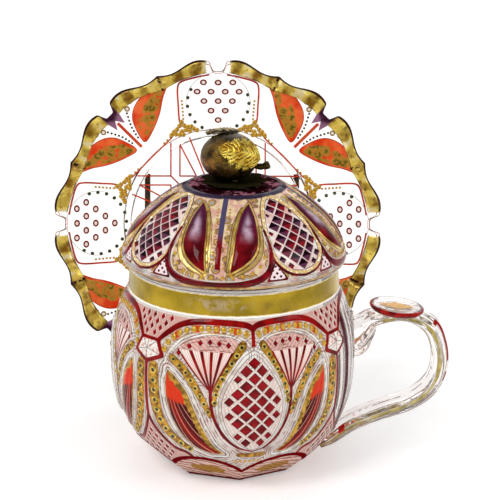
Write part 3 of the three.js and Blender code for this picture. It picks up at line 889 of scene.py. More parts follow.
def cup_ground(f, s):
    """Clear glass, ground white or pink in the fans, the corners and the egg, with painted shade where the
    ground glass turns away.
    """
    clear_glass(f)
    fluting = (s.angle * 2.1).wave().rise(-0.4, 0.9) * s.in_fan
    outside = s.panel.rise(0.6, 0.8) * s.z.under(82.2) * s.outer
    under_arch = s.arch.under(-1.5) * s.egg.rise(1.5, 2) * s.z.rise(FAN_TOP - 0.2, FAN_TOP) * s.drawn
    ripple = (s.leaf * 4.2).wave().rise(-0.6, 0.8) * s.panel.under(-1) * s.drawn * (1 - s.in_fan) * 0.35
    pink = s.in_fan * s.reach.rise(26, 0) * 0.7 + fluting * 0.5 + outside * 0.8 + s.egg.under(-1.8) * 0.12
    pink = (pink + under_arch * 0.6 + ripple) * (1 - s.moat)
    facets = s.pentagon.under(-0.3) * s.outer
    flutes = abs(s.flute - 0.5).rise(0.1, 0.4) * s.fluted * s.panel.under(-0.8) * 0.75
    pink = pink * (1 - facets) + f.noise(1.3, 2).rise(0.5, 0.62) * facets * 0.8
    # painted shade: brown where the ground glass turns away from the eye
    turned_away_shade = f.facing().rise(0.62, 0.98) * 0.8
    colour = f.mixed(turned_away_shade * (1 - facets), f.mixed(pink.least(1.0), MILK, ROSE), "744638")
    # soft brown patches at random in the moats and the open glass
    brown_patch_zone = s.moat.most(s.leaf.rise(2, 2.4) * s.egg.rise(1.2, 1.4) * s.panel.under(-1.2) * (1 - s.in_fan))
    colour = f.mixed(f.noise(4.5, 3).rise(0.52, 0.66) * brown_patch_zone * s.drawn * 0.5, colour, "b08870")
    cuts = (s.leaf.least(s.egg) * 4.6).wave() * (1 - s.in_fan) + f.noise(1.6, 2) * 2
    veil = most_of([s.in_fan * 0.9, s.egg.under(-1.6) * 0.85, under_arch * 0.85, s.moat * 0.8, outside * 0.8,
                    s.drawn * 0.68, s.outer * 0.15, flutes, facets * 0.9])
    frost(f, colour, veil, 0.14, Normal=f.bump(cuts, 0.16))


def cup_hairlines(f, s):
    """Thin lines where two cuts meet: along the arch, the leaf, the egg, the gilt bands and the
    flutes, and across each pentagon. Short broken ones are painted reflections of them in the thick glass."""
    arches = most_of([abs(s.arch + off).under(0.12, 0.06) for off in (-1.1, 0.3, 1.2)]) * s.z.rise(60, 62)
    eggs = most_of([abs(s.egg + off).under(0.13, 0.06) for off in (-1.25, 0.1, 1.5)])
    leaves = most_of([s.leaf.near(off, 0.13, 0.06) for off in (0.5, 2.35)]) * s.panel.under(-1)
    gilts = s.gilt.near(0.05, 0.17, 0.06) * s.egg.rise(1.1, 1.3)
    ridges = s.flute.near(0.5, 0.035, 0.015) * s.fluted * s.panel.under(-0.8)
    star = most_of([stroke(s.x, s.z, ((HALF_PANEL, 67.2), corner), 0.16) for corner in PENTAGON])
    lines = most_of([arches * s.drawn, eggs * s.drawn, leaves * s.drawn, gilts * s.drawn,
                     ridges * s.z.rise(16, 20), star * s.pentagon.under(0)])
    ruby(f, HAIRLINE, lines * s.outer * s.z.under(83) * 0.8)
    nearest = s.leaf.least(s.egg).least(s.arch + 12)
    # painted reflections: short broken lines beside the outlines
    reflected_outlines = (nearest * 4.6 + f.noise(7) * 8).wave().rise(0.6, 0.85) * f.noise(3.4, 3).rise(0.46, 0.53)
    open_glass = s.leaf.rise(0.4, 0.6) * s.egg.rise(0.6, 0.9) * s.panel.under(-1.2) * (1 - s.in_fan) * s.drawn
    ruby(f, f.mixed(f.noise(5).rise(0.42, 0.56), "503430", "8c1c18"), reflected_outlines * open_glass * 0.9)


# %% Cup gilding and ruby
def cup_gilding(f, s):
    """Gilt bands, with flame-red blocks under the drops of the scalloped one."""
    block = s.x * 0.7 % 6.3
    ruby(f, "d8481c", s.scallop.under(-0.2) * (block.rise(3.9, 4.1) * block.rise(6.1, 5.9)) * s.outer)
    gild(f, "d8a83c", "a87c24", s.scallop.near(0.1, 0.16, 0.08) * s.outer * 0.8, 2)
    gild(f, "d49c2c", "74480c", s.gilt.under(0, 0.1) * s.egg.rise(0.8, 1.0) * s.outer, 2.2)


def cup_leaves(f, s):
    """Leaves: flame above, crimson below with light veins, and gilt along the near side."""
    tongue = (s.z + s.cloud * 4 - s.across * 0.3).rise(47, 49)
    dusk = f.mixed(abs(s.across - 1.6).rise(0.2, 2.6), RUBY_BRIGHT, "4c0614")
    ruby(f, f.mixed(tongue, dusk, FLAME), s.leaf.under(-0.05))
    fan_out = s.across / (s.along * 0.16 + 0.6)
    veins = (fan_out * 1.9 % 1).near(0.5, 0.045, 0.03) * s.leaf.under(-0.5) * s.along.rise(8, 14)
    ruby(f, "f8b088", veins * (1 - tongue))
    flank = s.across.rise(0.6, -0.3) * (s.leaf + f.noise(1.8, 1) * 2.4).rise(-1.3, -0.9)
    gild(f, "d0a03c", "7c5c14", s.leaf.under(0) * s.leaf.rise(-0.6, -0.35).most(flank), 2)


def cup_lines(f, s):
    """Ruby lines: the panel's outline, the pentagons, and the stem with its rays, and two painted dark
    streaks of shade on the handle's panel.
    """
    ray = (6.7 - abs((s.angle - FAN_FROM) % 13.4 - 6.7)) * s.reach * math.radians(1)
    rays = ray.under(s.reach * 0.02 + 0.36) * s.in_fan
    stem_line = abs(s.stem).under(0.72) * s.z.under(53) * s.z.rise(18, 19)
    post = s.x.under(0.85) * s.z.rise(71.5, 72) * s.z.under(79.4)
    sides = abs(s.panel).under((s.z - 70).rise(0, 6) * 0.3 + 0.95)
    lines = most_of([sides, abs(s.pentagon).under(0.7), stem_line * s.drawn, rays, post * s.drawn])
    red = f.mixed(s.cloud.rise(0.35, 0.65), RUBY_DEEP, RUBY_BRIGHT)
    ruby(f, red, lines * s.outer * s.facet.rise(0.2, 0.4))
    # painted shade: dark plum streaks on the handle's panel, where the thick glass looks dark
    side_shade_streak = s.x.near(35.4, 1.7, 0.3) * s.fluted * s.panel.under(-0.5) * s.z.under(80)
    ruby(f, f.mixed(s.cloud, "300612", "6c2434"), side_shade_streak)


def cup_heel(f, s):
    """The heel's facets, gilt in their middles, and the ruby line round each."""
    across, ahead, _ = f.spot()
    turn = across.math("ARCTAN2", across, -ahead) * (180 / math.pi)
    off = (turn - FACET_TURN) % (360 / FACETS) - 180 / FACETS
    streaks = (s.z * 2.4 + off * 0.35 + f.noise(6) * 9).wave().rise(0.0, 0.9)
    f.coat(f.mixed(streaks, "f0d0c4", "b06c5c"), s.facet.under(-0.9) * s.outer, Specular_IOR_Level=0.0)
    u, v = off / 13, (s.z - 8) / 3.6
    dab = (u * u + v * v + f.noise(2.2, 2) * 0.9).under(1.3, 0.05) * s.facet.under(-1.6) * s.outer
    strokes = (s.z * 4.4 + off * 0.5 + f.noise(4) * 5).wave().rise(-0.2, 0.8)
    f.coat(f.mixed(strokes, "744408", "e4a824"), dab, Specular_IOR_Level=0.1)
    f.coat("780a12", s.z.under(1.8).most(s.facet.near(0.1, 1.1)) * s.outer, Specular_IOR_Level=0.0)


def cup_neck(f, s):
    """The broad band of thick gilding, cloudy in tone, with a painted pale glare at the front, left of the
    middle, and a painted dark reflection right of it.
    """
    across, ahead, _ = f.spot()
    neck = s.z.rise(84.0, 84.2) * s.z.under(93.0)
    gold = f.mixed(f.noise(16, 2).rise(0.35, 0.65), "8c7412", "b89a26")
    f.coat(gold, neck, Metallic=0.8, Roughness=0.24)
    # painted glare: a pale patch on the gold just left of the front
    rubbed = across.rise(-24, -12) * across.rise(12, -2) * ahead.under(0) * f.noise(5, 4).rise(0.42, 0.6)
    frost(f, "b49c7c", rubbed * s.z.rise(85, 88.5) * s.z.under(91, 1.5) * 0.7)
    # painted dark reflection: darker gilding right of the front
    dark_reflection = across.rise(8, 14) * across.rise(40, 30) * ahead.under(0) * f.noise(8, 3).rise(0.35, 0.6)
    gild(f, "8c6c1c", "54400c", dark_reflection * neck * s.z.under(90, 2) * 0.6, 6)
    ruby(f, HAIRLINE, s.z.near(94.1, 0.13, 0.07) * f.noise(12, 2).rise(0.36, 0.46))
    gild(f, "f4dc88", "c8a040", most_of([s.z.near(level, 0.16, 0.08) for level in (84.2, 93.0)]), 3)
    frost(f, MILK, s.z.rise(83.2, 83.4) * s.z.under(84.0))


cup_finish = stacked("cup_cut_glass", cup_signals, (
    cup_ground, cup_hairlines, cup_gilding, cup_leaves, cup_lines, cup_heel, cup_neck))

# %% Cup mesh
BASE_SHARES = (0.3, 0.6, 0.85, 0.97, 1.0)
LIP_ROUND = [(-0.5, -0.25), (-1.6, 0.0), (-2.8, 0.0), (-3.9, -0.3)]   # in from the lip, and up

cup_wall = around(wall_turn, wall_radius, wall_z)
foot = wall_radius[0] - 0.3
depths = np.concatenate([np.linspace(LIP_HEIGHT - 1.2, 20, 22), np.linspace(18, CUP_FLOOR + 0.4, 9)])
rings = np.stack([around(cup_turns, foot * share, 0.0) for share in BASE_SHARES] + list(cup_wall)
                 + [around(cup_turns, LIP + inwards, LIP_HEIGHT + up) for inwards, up in LIP_ROUND]
                 + [around(cup_turns, hollow(z), z) for z in depths]
                 + [around(cup_turns, FLOOR_RADIUS * share, CUP_FLOOR) for share in (0.92, 0.6, 0.3)])
fields = spread(cup_field, len(BASE_SHARES), len(rings), negative=["drawn"])
ring_mesh("cup_glass", rings, "cup", cup_finish, "cup_body", fields=fields)

# %% [markdown]
# Diamonds and beads on the cup
#
# Inside the egg the wheel has cut two sets of crossing grooves through the ruby, and the flat tops
# of the diamonds between them keep it. The gilt bands carry rows of round beads with a dark green
# middle. All lie on the cup's own wall, in the three panels that have the pattern.

# %% Cup studs
DECORATED = (0, 2, 3)   # panels counted from the front; the handle grows from the other one
EGG_PITCH = 6.9
ARCH_SQUARES = [(32, 68), (27.5, 71.3), (22.8, 73), (18.6, 73.6), (14.6, 73.2), (10.7, 72.6)]


def cup_place(panel, x, z):
    """Column and row of the wall's grid at a place of a panel's drawing."""
    column = panel * 2 * HALF_STEPS + x / HALF_PANEL * HALF_STEPS
    return column, np.interp(z, cup_rows, np.arange(len(cup_rows)))


def on_cup(panel):
    """The ground for stamps on one panel."""
    return lambda x, z, lift: laid_on(cup_wall, *cup_place(panel, x, z), lift)


def above_heel(places, panel, margin):
    """The places on a panel that lie above the heel's facets."""
    column, row = (np.round(part).astype(int) for part in cup_place(panel, *places[:, :2].T))
    return places[cup_field["facet"][row, column % len(columns)] > margin]


def egg_diamonds():
    """Rows of diamonds inside the egg, evenly spaced along the barrel's curve."""
    fine = np.linspace(24.5, 69, 200)
    length = walk(np.stack([barrel(fine), fine], -1))
    rows = np.interp(np.arange(0, length[-1], EGG_PITCH / 2), length, fine)
    points = in_rows([np.arange((k % 2) / 2 - 2, 2.1) * EGG_PITCH for k in range(len(rows))], rows)
    return fitted(points, mirrored(flowing(EGG)), border=1.5, size=EGG_PITCH * 0.49)


def corner_diamonds():
    """Small diamonds between the panels, above the notches and above the heel."""
    above = quincunx(5.0, 2.3, left=HALF_PANEL - 25, right=HALF_PANEL + 0.1, low=62.5, high=81.6)
    below = quincunx(4.6, 2.3, left=HALF_PANEL - 23, right=HALF_PANEL + 0.1, low=14, high=36)
    points = np.concatenate([above, below])
    clear = (to_outline(points, PANEL) > 2.0) & (to_outline(points, CORNER) > 1.8)
    places = sized(points[clear], 1.45, 1.9)
    return np.concatenate([places, places[places[:, 0] < 48] * [-1, 1, 1, 1]])


def band_beads(band, pitch, size, start=1.0):
    """Beads along the middle of a gilt band."""
    return sized(paced(flowing(band)[:, :2], pitch, start), size)


def diamond_finish():
    """Ruby on the flat top, ground glass on the cut sides, and a dark line where they meet."""
    f = Finish("cut_diamonds")
    u, v, lift = f.three("local")
    clear_glass(f)
    frost(f, f.mixed(f.noise(3) * 0.4, MILK, ROSE), 0.85)
    ruby(f, HAIRLINE, lift.under(0.04, 0.03) * 0.6)
    red = f.mixed(f.noise(5).rise(0.3, 0.7), RUBY_DEEP, "a40e18")
    ruby(f, f.mixed((abs(u) + abs(v)).rise(0.67, 0.74), red, RUBY_DARK), lift.rise(0.4, 0.46))
    return f.done()


def gold_drop_finish():
    """A drop of gold, a little darker at its foot."""
    f = Finish("gold_drops")
    colour = f.mixed(f.three("local")[2].rise(0.0, 0.35), "7a5410", "d8a83c")
    f.coat(colour, Metallic=0.6, Roughness=f.noise(2) * 0.2 + 0.25)
    return f.done()


def away_from_middle(f, name):
    """Length of the first two of the numbers kept at each vertex."""
    u, v = f.pair(name)
    return (u * u + v * v).root()


def bead_finish():
    """A raised ring of gold round a dark green middle."""
    f = Finish("gilt_beads")
    radius = away_from_middle(f, "local")
    gild(f, "f4d060", "9c7c18", None, 1.5)
    ruby(f, "4c3408", radius.rise(0.92, 0.96))
    f.coat("182412", radius.under(0.5, 0.06), Roughness=0.12)
    return f.done()


cut_diamonds, drop_gilding = diamond_finish(), gold_drop_finish()
small_diamonds, square_cut = corner_diamonds(), pyramid(top=0.8, height=0.5)
beads = both_sides(np.concatenate([
    band_beads(GILT_BANDS["egg_side"], pitch=3.9, size=1.35),
    band_beads(GILT_BANDS["edge_side"], pitch=4.6, size=1.7, start=1.6),
    band_beads(GILT_BANDS["leaf_side"], pitch=3.9, size=1.25)]))
drops = both_sides(band_beads(SCALLOP_BAND, pitch=3.4, size=1.45, start=1.2))
foot_dots = sized([(x, 16.4) for x in np.arange(-7.5, 7, 2.3)], 0.8)
stamp_panels(range(4), on_cup, "cup", [
    ("corner_diamonds", pyramid(top=0.72, height=0.5),
     lambda panel: above_heel(small_diamonds, panel, margin=2.2), cut_diamonds)])
stamp_panels(DECORATED, on_cup, "cup", [
    ("egg_diamonds", square_cut, egg_diamonds(), cut_diamonds),
    ("arch_squares", square_cut, both_halves(ARCH_SQUARES, 1.5, 1.75), cut_diamonds),
    ("cup_beads", BEAD_SHAPE, beads, bead_finish()),
    ("scallop_drops", DROP_SHAPE,
     lambda panel: np.concatenate([drops, above_heel(foot_dots, panel, margin=1.6)]), drop_gilding)])

# %% [markdown]
# The cover's shape
#
# The dome carries two patterns in turn: a pair of ruby petals with a bar between them, and an oval
# cut with a lattice. The drawing is one eighth of the dome, from the middle of the petals at the
# left to the middle of the oval at the right. It is read as turns in degrees and shares of the
# dome's height, and distances are measured on the dome itself.

# %% Cover profile
COVER_RADIUS, COVER_SEAT, RIM_EDGE = 50.4, 96.2, 97.1
DOME_HEIGHT, TABLE_RADIUS = 33.3, 21.5
CROWN_HEIGHT = RIM_EDGE + DOME_HEIGHT
ROOF_HEIGHT, HOLLOW_RADIUS, STUD_HOLE = 125.4, 14.0, 1.9
FLANGE_RADIUS, FLANGE_BORE, FLANGE_END = 42.1, 38.9, 89.7
COVER_FOLDS = [-8.5, 38.0, 83.0, 128.0, 173.0, 218.0, 262.0, 305.0, 351.5]
EIGHTH = 45.0       # degrees in the drawing, whatever the real turn between two folds


def dome(share, rim=COVER_RADIUS, top=TABLE_RADIUS, roundness=1.9, fullness=0.95):
    """Radius at a share of the height: the rim's, drawn in to the top's by a power of one less a
    power of the share."""
    return top + (rim - top) * (1 - np.clip(share, 0, 1) ** roundness) ** fullness


def on_dome(points):
    """The place in space of a point of the drawing."""
    share = points[..., 1]
    return around(points[..., 0], dome(share), RIM_EDGE + share * DOME_HEIGHT)


def even_shares(count):
    """Shares of the height that lie evenly along the dome's curve."""
    return np.interp(np.linspace(0, DOME_LENGTH, count), dome_walk, fine_shares)


fine_shares = np.linspace(0, 1, 400)
dome_walk = walk(np.stack([dome(fine_shares), fine_shares * DOME_HEIGHT], -1))
DOME_LENGTH = dome_walk[-1]
cover_turns = np.interp(columns / HALF_STEPS, range(9), COVER_FOLDS)
cover_shares = even_shares(72)
cover_lengths = np.linspace(0, DOME_LENGTH, len(cover_shares))
cover_x, cover_t = np.meshgrid(np.linspace(0, EIGHTH, HALF_STEPS + 1), cover_shares)
print("dome curve", round(DOME_LENGTH, 1), "mm long")

# %% Cover drawing
PETAL = [(6.2, 0.2), (13.5, 0.3), (19.2, 0.42), (22, 0.55), (23, 0.68), (23.4, 0.8), (22, 0.93)]
PETAL_INNER = [(22, 0.93), (15.6, 0.86), (11.6, 0.75), (9.2, 0.62), (8.2, 0.47), (7.2, 0.33), (6.2, 0.2)]
GARLAND = [(0, 0.045, 1.5), (10, 0.055, 1.5), (19, 0.1, 1.5), (24.4, 0.18, 1.4), (27, 0.3, 1.1),
           (28, 0.48, 0.8), (27, 0.66, 0.5)]
OVAL = [(45, 0.1), (38, 0.135), (32.4, 0.22), (28.6, 0.34), (27, 0.48), (26.6, 0.62), (27.4, 0.76),
        (30.5, 0.88), (37, 0.965), (45, 0.985)]
NOTCH = np.array([(29.2, 0.31), (24.6, 0.09), (34.6, 0.09)])
DOT_ROW = [(1.5, 0.145), (10, 0.155), (17, 0.2), (21.6, 0.28), (24.2, 0.38)]
BAR_DOTS = [(2.9, 0.26), (3.3, 0.5), (4.2, 0.75), (5.0, 0.88)]
BAR_HALF, BAR_FOOT = 1.6, 0.235
COVER_GILT = [      # outside and inside the petal
    [(8, 0.175, 0.5), (14.8, 0.25, 0.8), (20.8, 0.37, 0.9), (23.9, 0.52, 0.8), (25, 0.7, 0.6)],
    [(4.8, 0.22, 0.5), (5.6, 0.4, 0.9), (6.6, 0.56, 1.0), (8.6, 0.72, 1.0), (12.6, 0.84, 0.8)]]


def cover_fields(points):
    """The pattern's numbers at points of the drawing."""
    turn, share = points[..., 0], points[..., 1]
    up_curve = np.interp(share, even_shares(200), np.linspace(0, DOME_LENGTH, 200))
    return {
        "petal": to_outline(points, np.concatenate([flowing(PETAL), flowing(PETAL_INNER)]), on_dome),
        "garland": to_band(points, GARLAND, on_dome),
        "oval": to_outline(points, mirrored(flowing(OVAL), EIGHTH), on_dome),
        "notch": to_outline(points, NOTCH, on_dome),
        "gilt": np.min([to_band(points, band, on_dome) for band in COVER_GILT], axis=0),
        "middle": xyz(np.radians(turn) * dome(share), share),
        "lattice": xyz(np.radians(turn - EIGHTH) * dome(share), up_curve),
    }


def cover_relief(f):
    """Height over the plain dome: crowned petals and bar, a raised garland, and sunk ovals with a
    rounded border."""
    petal = 1.1 * np.sqrt(np.clip(-f["petal"] / 6, 0, 1))
    garland = 0.5 * (1 - step_up(f["garland"], -0.8, 0.3))
    bar = 0.6 * np.clip(1 - (f["middle"][..., 0] / 2.0) ** 2, 0, 1) * step_up(f["middle"][..., 1], 0.2, 0.26)
    oval = -0.5 * (1 - step_up(f["oval"], -2.6, -1.6)) + 0.4 * hump(f["oval"], -0.8, 0.8)
    return petal + garland + bar + oval - 0.4 * hump(f["petal"], 0.9, 0.6)


cover_field, cover_swell = wrapped(cover_fields(np.stack([cover_x, cover_t], -1)), cover_relief, folded)

# %% [markdown]
# The cover's finish
#
# The same layers as on the cup, but the ruby is thick here and looks nearly black where it turns
# away from the light.

# %% Cover finish
def cover_signals(f):
    """The numbers kept on the dome, by name."""
    s = named_fields(f, "petal garland oval notch gilt")
    s.bar, s.share = f.pair("middle")
    s.across, s.along = f.pair("lattice")
    s.outer = s.share.rise(-0.5, 0)
    s.cloud = f.noise(6)
    s.field = s.garland.rise(0.2, 0.6) * s.oval.rise(-0.1, 0.2) * s.outer * s.share.rise(0.1, 0.12)
    return s


def cover_ground(f, s):
    """Clear glass under a pink and golden ground of small painted curls, each round its own dot."""
    clear_glass(f)
    veil = most_of([s.oval.under(-1.8) * 0.8, s.outer * 0.55])
    frost(f, f.mixed(s.cloud.rise(0.35, 0.7) * 0.7, MILK, ROSE), veil)
    frost(f, f.mixed(f.noise(3, 3).rise(0.42, 0.58), "dcc494", "d09c8c"), s.field * 0.9)
    away = f.cells(4.2, loose=0.8)
    gild(f, "e0b04c", "a87c30", away.near(0.34, 0.07, 0.03) * s.field * 0.9, 1.5)
    outlines = away.near(0.45, 0.045, 0.02).most(away.near(0.22, 0.03, 0.02)) * s.field
    ruby(f, "5c4034", outlines * 0.8)
    frost(f, "8c98a0", away.under(0.17, 0.04) * s.field * 0.9)


def cover_borders(f, s):
    """A pale gold border round each oval, and gold along both sides of each petal."""
    pearls = f.noise(1.1, 1).rise(0.55, 0.62)
    frost(f, f.mixed(pearls, "d4b070", "f6ecd0"), s.oval.under(-0.3) * s.oval.rise(-2.1, -1.9))
    gild(f, "e8c87c", "b8944c", s.gilt.under(0, 0.1) * s.outer, 5)
    inner_side = s.bar.under(7.2, 0.5) * s.outer
    ragged = (s.share * 34).wave() * 0.5 * inner_side
    gold = s.petal.rise(-0.2, -0.05) * (s.petal + ragged).under(inner_side * 0.5 + 0.75)
    gild(f, "f0cc6c", "c09438", gold * s.outer, 5)
    dark = most_of([abs(s.oval + 0.15).under(0.2, 0.08), abs(s.oval + 2.15).under(0.16, 0.08),
                    (s.petal - 1.0).near(inner_side * 0.6, 0.13, 0.06), s.gilt.near(0.05, 0.14, 0.06)])
    ruby(f, "3c1418", dark * s.outer * s.garland.rise(0, 0.3) * 0.85)


def cover_rubies(f, s):
    """Petals, garland, bar and the lines of the ovals: crimson low down and plum above, with a pale
    painted highlight along the crown of each petal."""
    crimson = f.mixed(s.cloud.rise(0.35, 0.65), "4c040c", "7e0a14")
    colour = f.mixed(s.share.rise(0.45, 0.8), crimson, f.mixed(s.cloud, "3c0c24", "5a1c3c"))
    # painted highlight along the crown of each petal
    painted_highlight = s.share.rise(0.5, 0.66) * s.share.rise(0.9, 0.72) * s.petal.under(-2.6, 1.4)
    painted_highlight = painted_highlight * f.noise(5).rise(0.2, 0.6) * 0.75
    ruby(f, f.mixed(painted_highlight, colour, "d8bcd0"), s.petal.under(0) * s.outer)
    bar = abs(s.bar).under(BAR_HALF * 0.7) * s.share.rise(BAR_FOOT, BAR_FOOT + 0.01)
    ruby(f, f.mixed(s.share.rise(0.5, 0.66), "780812", "4c4464"), bar * s.outer)
    oval_line = abs(s.oval).under(0.6) * s.share.under(0.5, 0.1)
    ruby(f, crimson, most_of([s.garland.under(0), oval_line, abs(s.notch).under(0.45)]) * s.outer)
    inside = s.notch.under(-0.4) * s.outer
    frost(f, "f2d8da", inside)
    u, v = (s.across + s.along) / 3.0, (s.across - s.along) / 3.0
    ruby(f, "2c040c", (u % 1).near(0.5, 0.24, 0.05) * (v % 1).near(0.5, 0.24, 0.05) * inside)


def cover_crown(f, s):
    """The flat top: a plum ring at its edge and ruby streaks inside it, round the rosette."""
    across, ahead, up = f.spot()
    radius = (across * across + ahead * ahead).root()
    top = up.rise(CROWN_HEIGHT - 0.25, CROWN_HEIGHT - 0.1)
    streaks = (f.noise(1.8, 3) + f.noise(9)).rise(1.0, 1.2)
    f.coat(f.mixed(streaks, "20050a", "a06474"), top, Specular_IOR_Level=0.0)
    ring = s.share.rise(0.962, 0.975).most(top * radius.rise(20.0, 20.3))
    f.coat(f.mixed(f.noise(8), "201624", "403450"), ring, Roughness=0.3, Specular_IOR_Level=0.05)


def cover_rim(f, s):
    """A gilt rim, and thin painted lines above it that stand for its mirror images in the thick glass."""
    gild(f, "c8a050", "8a6428", s.share.under(0.028, 0.006) * s.outer * 0.8, 4)
    # painted reflections of the rim in the thick glass
    reflected_rim_lines = most_of([s.share.near(level, 0.0035, 0.002) for level in (0.04, 0.058, 0.08)])
    ruby(f, HAIRLINE, reflected_rim_lines * f.noise(8, 3).rise(0.42, 0.52) * s.outer)


cover_finish = stacked("cover_cut_glass", cover_signals, (
    cover_ground, cover_borders, cover_rubies, cover_crown, cover_rim))

# %% Cover mesh
FLANGE = [(FLANGE_RADIUS, z) for z in np.linspace(FLANGE_END + 0.4, COVER_SEAT - 0.3, 4)]
SEAT = [(FLANGE_RADIUS + 0.2, COVER_SEAT), (46.5, COVER_SEAT), (COVER_RADIUS - 0.6, COVER_SEAT),
        (COVER_RADIUS - 0.1, COVER_SEAT + 0.3)]
TABLE = [(r, CROWN_HEIGHT) for r in (19, 15, 11, 7, 4, STUD_HOLE + 0.3)]
HOLE = [(STUD_HOLE, CROWN_HEIGHT - 0.3), (STUD_HOLE, ROOF_HEIGHT + 0.3), (STUD_HOLE + 0.3, ROOF_HEIGHT)]
ROOF = [(r, ROOF_HEIGHT) for r in (5, 9, 12.5)]
INSIDE = [(dome(t, FLANGE_BORE, HOLLOW_RADIUS, 2.6, 0.8), COVER_SEAT + t * (ROOF_HEIGHT - COVER_SEAT))
          for t in (0.995, 0.97, 0.92, 0.86, 0.78, 0.68, 0.57, 0.45, 0.32, 0.18, 0.06)]
MOUTH = [(FLANGE_BORE, COVER_SEAT - 1), (FLANGE_BORE, FLANGE_END + 1.5),
         (FLANGE_BORE + 0.5, FLANGE_END + 0.2), (FLANGE_BORE + 1.2, FLANGE_END),
         (FLANGE_RADIUS - 0.8, FLANGE_END)]


def dome_wall():
    """The outside of the dome, with its relief added along the outward normal of the curve."""
    r, z = dome(cover_shares), RIM_EDGE + cover_shares * DOME_HEIGHT
    slope = np.stack([np.gradient(r), np.gradient(z)], -1)
    normal = np.stack([slope[:, 1], -slope[:, 0]], -1) / np.linalg.norm(slope, axis=1)[:, None]
    out = cover_swell * step_up(cover_shares, 0, 0.03)[:, None]
    return around(cover_turns[None], r[:, None] + out * normal[:, :1], z[:, None] + out * normal[:, 1:])


def plain_rings(profile):
    return [around(cover_turns, radius, z) for radius, z in profile]


cover_wall = dome_wall()
rings = np.stack(plain_rings(FLANGE + SEAT) + list(cover_wall)
                 + plain_rings(TABLE + HOLE + ROOF + INSIDE + MOUTH))
fields = spread(cover_field, len(FLANGE + SEAT), len(rings), negative=["middle"])
ring_mesh("cover_glass", rings, "cover", cover_finish, "cover_dome", looped=True, fields=fields)

# %% [markdown]
# Diamonds and dots on the cover
#
# The ovals are cut like the eggs, but the ruby is darker and the diamonds larger. Between petals and
# garland run rows of gilt dots.

# %% Cover studs
def on_cover(fold):
    """The ground for stamps round a fold line, from lengths across and up the dome's curve."""
    def place(x, up, lift):
        turn = np.degrees(x / dome(np.interp(up, cover_lengths, cover_shares)))
        row = np.interp(up, cover_lengths, np.arange(len(cover_lengths)))
        return laid_on(cover_wall, fold * HALF_STEPS + turn / EIGHTH * HALF_STEPS, row, lift)
    return place


def on_curve(points, middle=0.0):
    """Points of the drawing as lengths: across from a middle line, and up the dome's curve."""
    up = np.interp(points[:, 1], cover_shares, cover_lengths)
    return np.column_stack([np.radians(points[:, 0] - middle) * dome(points[:, 1]), up])


def dark_diamond_finish():
    """Nearly black ruby on top, with painted light that makes its lower half lighter, and ground glass on the
    sides.
    """
    f = Finish("dark_diamonds")
    _, v, lift = f.three("local")
    clear_glass(f)
    frost(f, f.mixed(f.noise(4), MILK, "c8a4b4"), 0.85)
    cloud = f.noise(9).rise(0.45, 0.6)
    # painted light: the lower half of each top is lighter, the upper half nearly black
    top = f.mixed(v.rise(-0.15, 0.1), f.mixed(cloud, "5c3048", "84101c"), f.mixed(cloud, "14000a", "4c0410"))
    ruby(f, top, lift.rise(0.36, 0.42))
    return f.done()


def dome_row(path, pitch, size, start=0.0):
    """Dots at an even pitch along a path of the drawing, on both sides of the petals' middle."""
    return both_halves(paced(on_curve(flowing(path)), pitch, start), size)


lattice = quincunx(6.3, 3.15, left=-18.9, right=19, low=2.0, high=DOME_LENGTH)
oval_places = fitted(lattice, mirrored(on_curve(flowing(OVAL), EIGHTH)), border=1.6, size=3.1)
gold_dots = np.concatenate([dome_row(DOT_ROW, pitch=4.2, size=0.9, start=1.0),
                            dome_row(BAR_DOTS, pitch=1.8, size=0.5)])
stamp_panels((1, 3, 5, 7), on_cover, "cover", [
    ("oval_diamonds", pyramid(top=0.86, height=0.45), oval_places, dark_diamond_finish())])
stamp_panels((0, 2, 4, 6), on_cover, "cover", [
    ("cover_dots", bead(DROP_PROFILE, 8), gold_dots, drop_gilding)])

# %% [markdown]
# The saucer's shape
#
# The saucer is pressed into eight double scallops with a notch between each pair, then the face is
# cut. It is worked out lying on its foot and then stood up at its lean. The drawing is one eighth of
# the face, from the middle of a medallion at the left to the middle of a notch at the right, in
# millimetres across and outwards.

# %% Saucer profile
SAUCER_RADIUS, SCALLOP_DEPTH, SCALLOP_SHOULDER, SCALLOP_PITCH = 81.1, 2.0, 7.0, 22.0
SAUCER_NOTCH, NOTCH_SOFT = 77.0, (1.4, 3.2)     # radius in a notch, and its half angle
WELL_RADIUS, WELL_HEIGHT, SAUCER_DEPTH, FLARE = 46.0, 7.2, 10.5, 1.6
SAUCER_THICK, EDGE_THICK = 4.2, 3.2
FOOT_IN, FOOT_OUT, FOOT_HEIGHT = 44.5, 48.0, 3.0
RIM_WAVE = 0.8
SAUCER_PLACE = Vector((-8.0, 107.17, 81.22))
SAUCER_TURN = Matrix.Rotation(math.radians(76), 3, "X")
SAUCER_STEPS = 80           # columns in one eighth

saucer_columns, saucer_folded = mirror_columns(SAUCER_STEPS)
saucer_turns = saucer_columns * EIGHTH / SAUCER_STEPS


def edge_radius(turn):
    """Radius of the edge at a turn from a medallion's middle: a cosine that peaks on both sides of
    each notch, dropping into the notch."""
    off = np.abs((turn + EIGHTH / 2) % EIGHTH - EIGHTH / 2)
    scallop = SAUCER_RADIUS + SCALLOP_DEPTH * np.cos(2 * np.pi * (off - SCALLOP_SHOULDER) / SCALLOP_PITCH)
    return SAUCER_NOTCH + (scallop - SAUCER_NOTCH) * step_up(off, *NOTCH_SOFT)


def face_height(radius):
    """Height of the face: flat in the well, then a power of the share of the way to the rim."""
    share = np.clip((radius - WELL_RADIUS) / (SAUCER_RADIUS - WELL_RADIUS), 0, 1.1)
    return WELL_HEIGHT + SAUCER_DEPTH * share ** FLARE


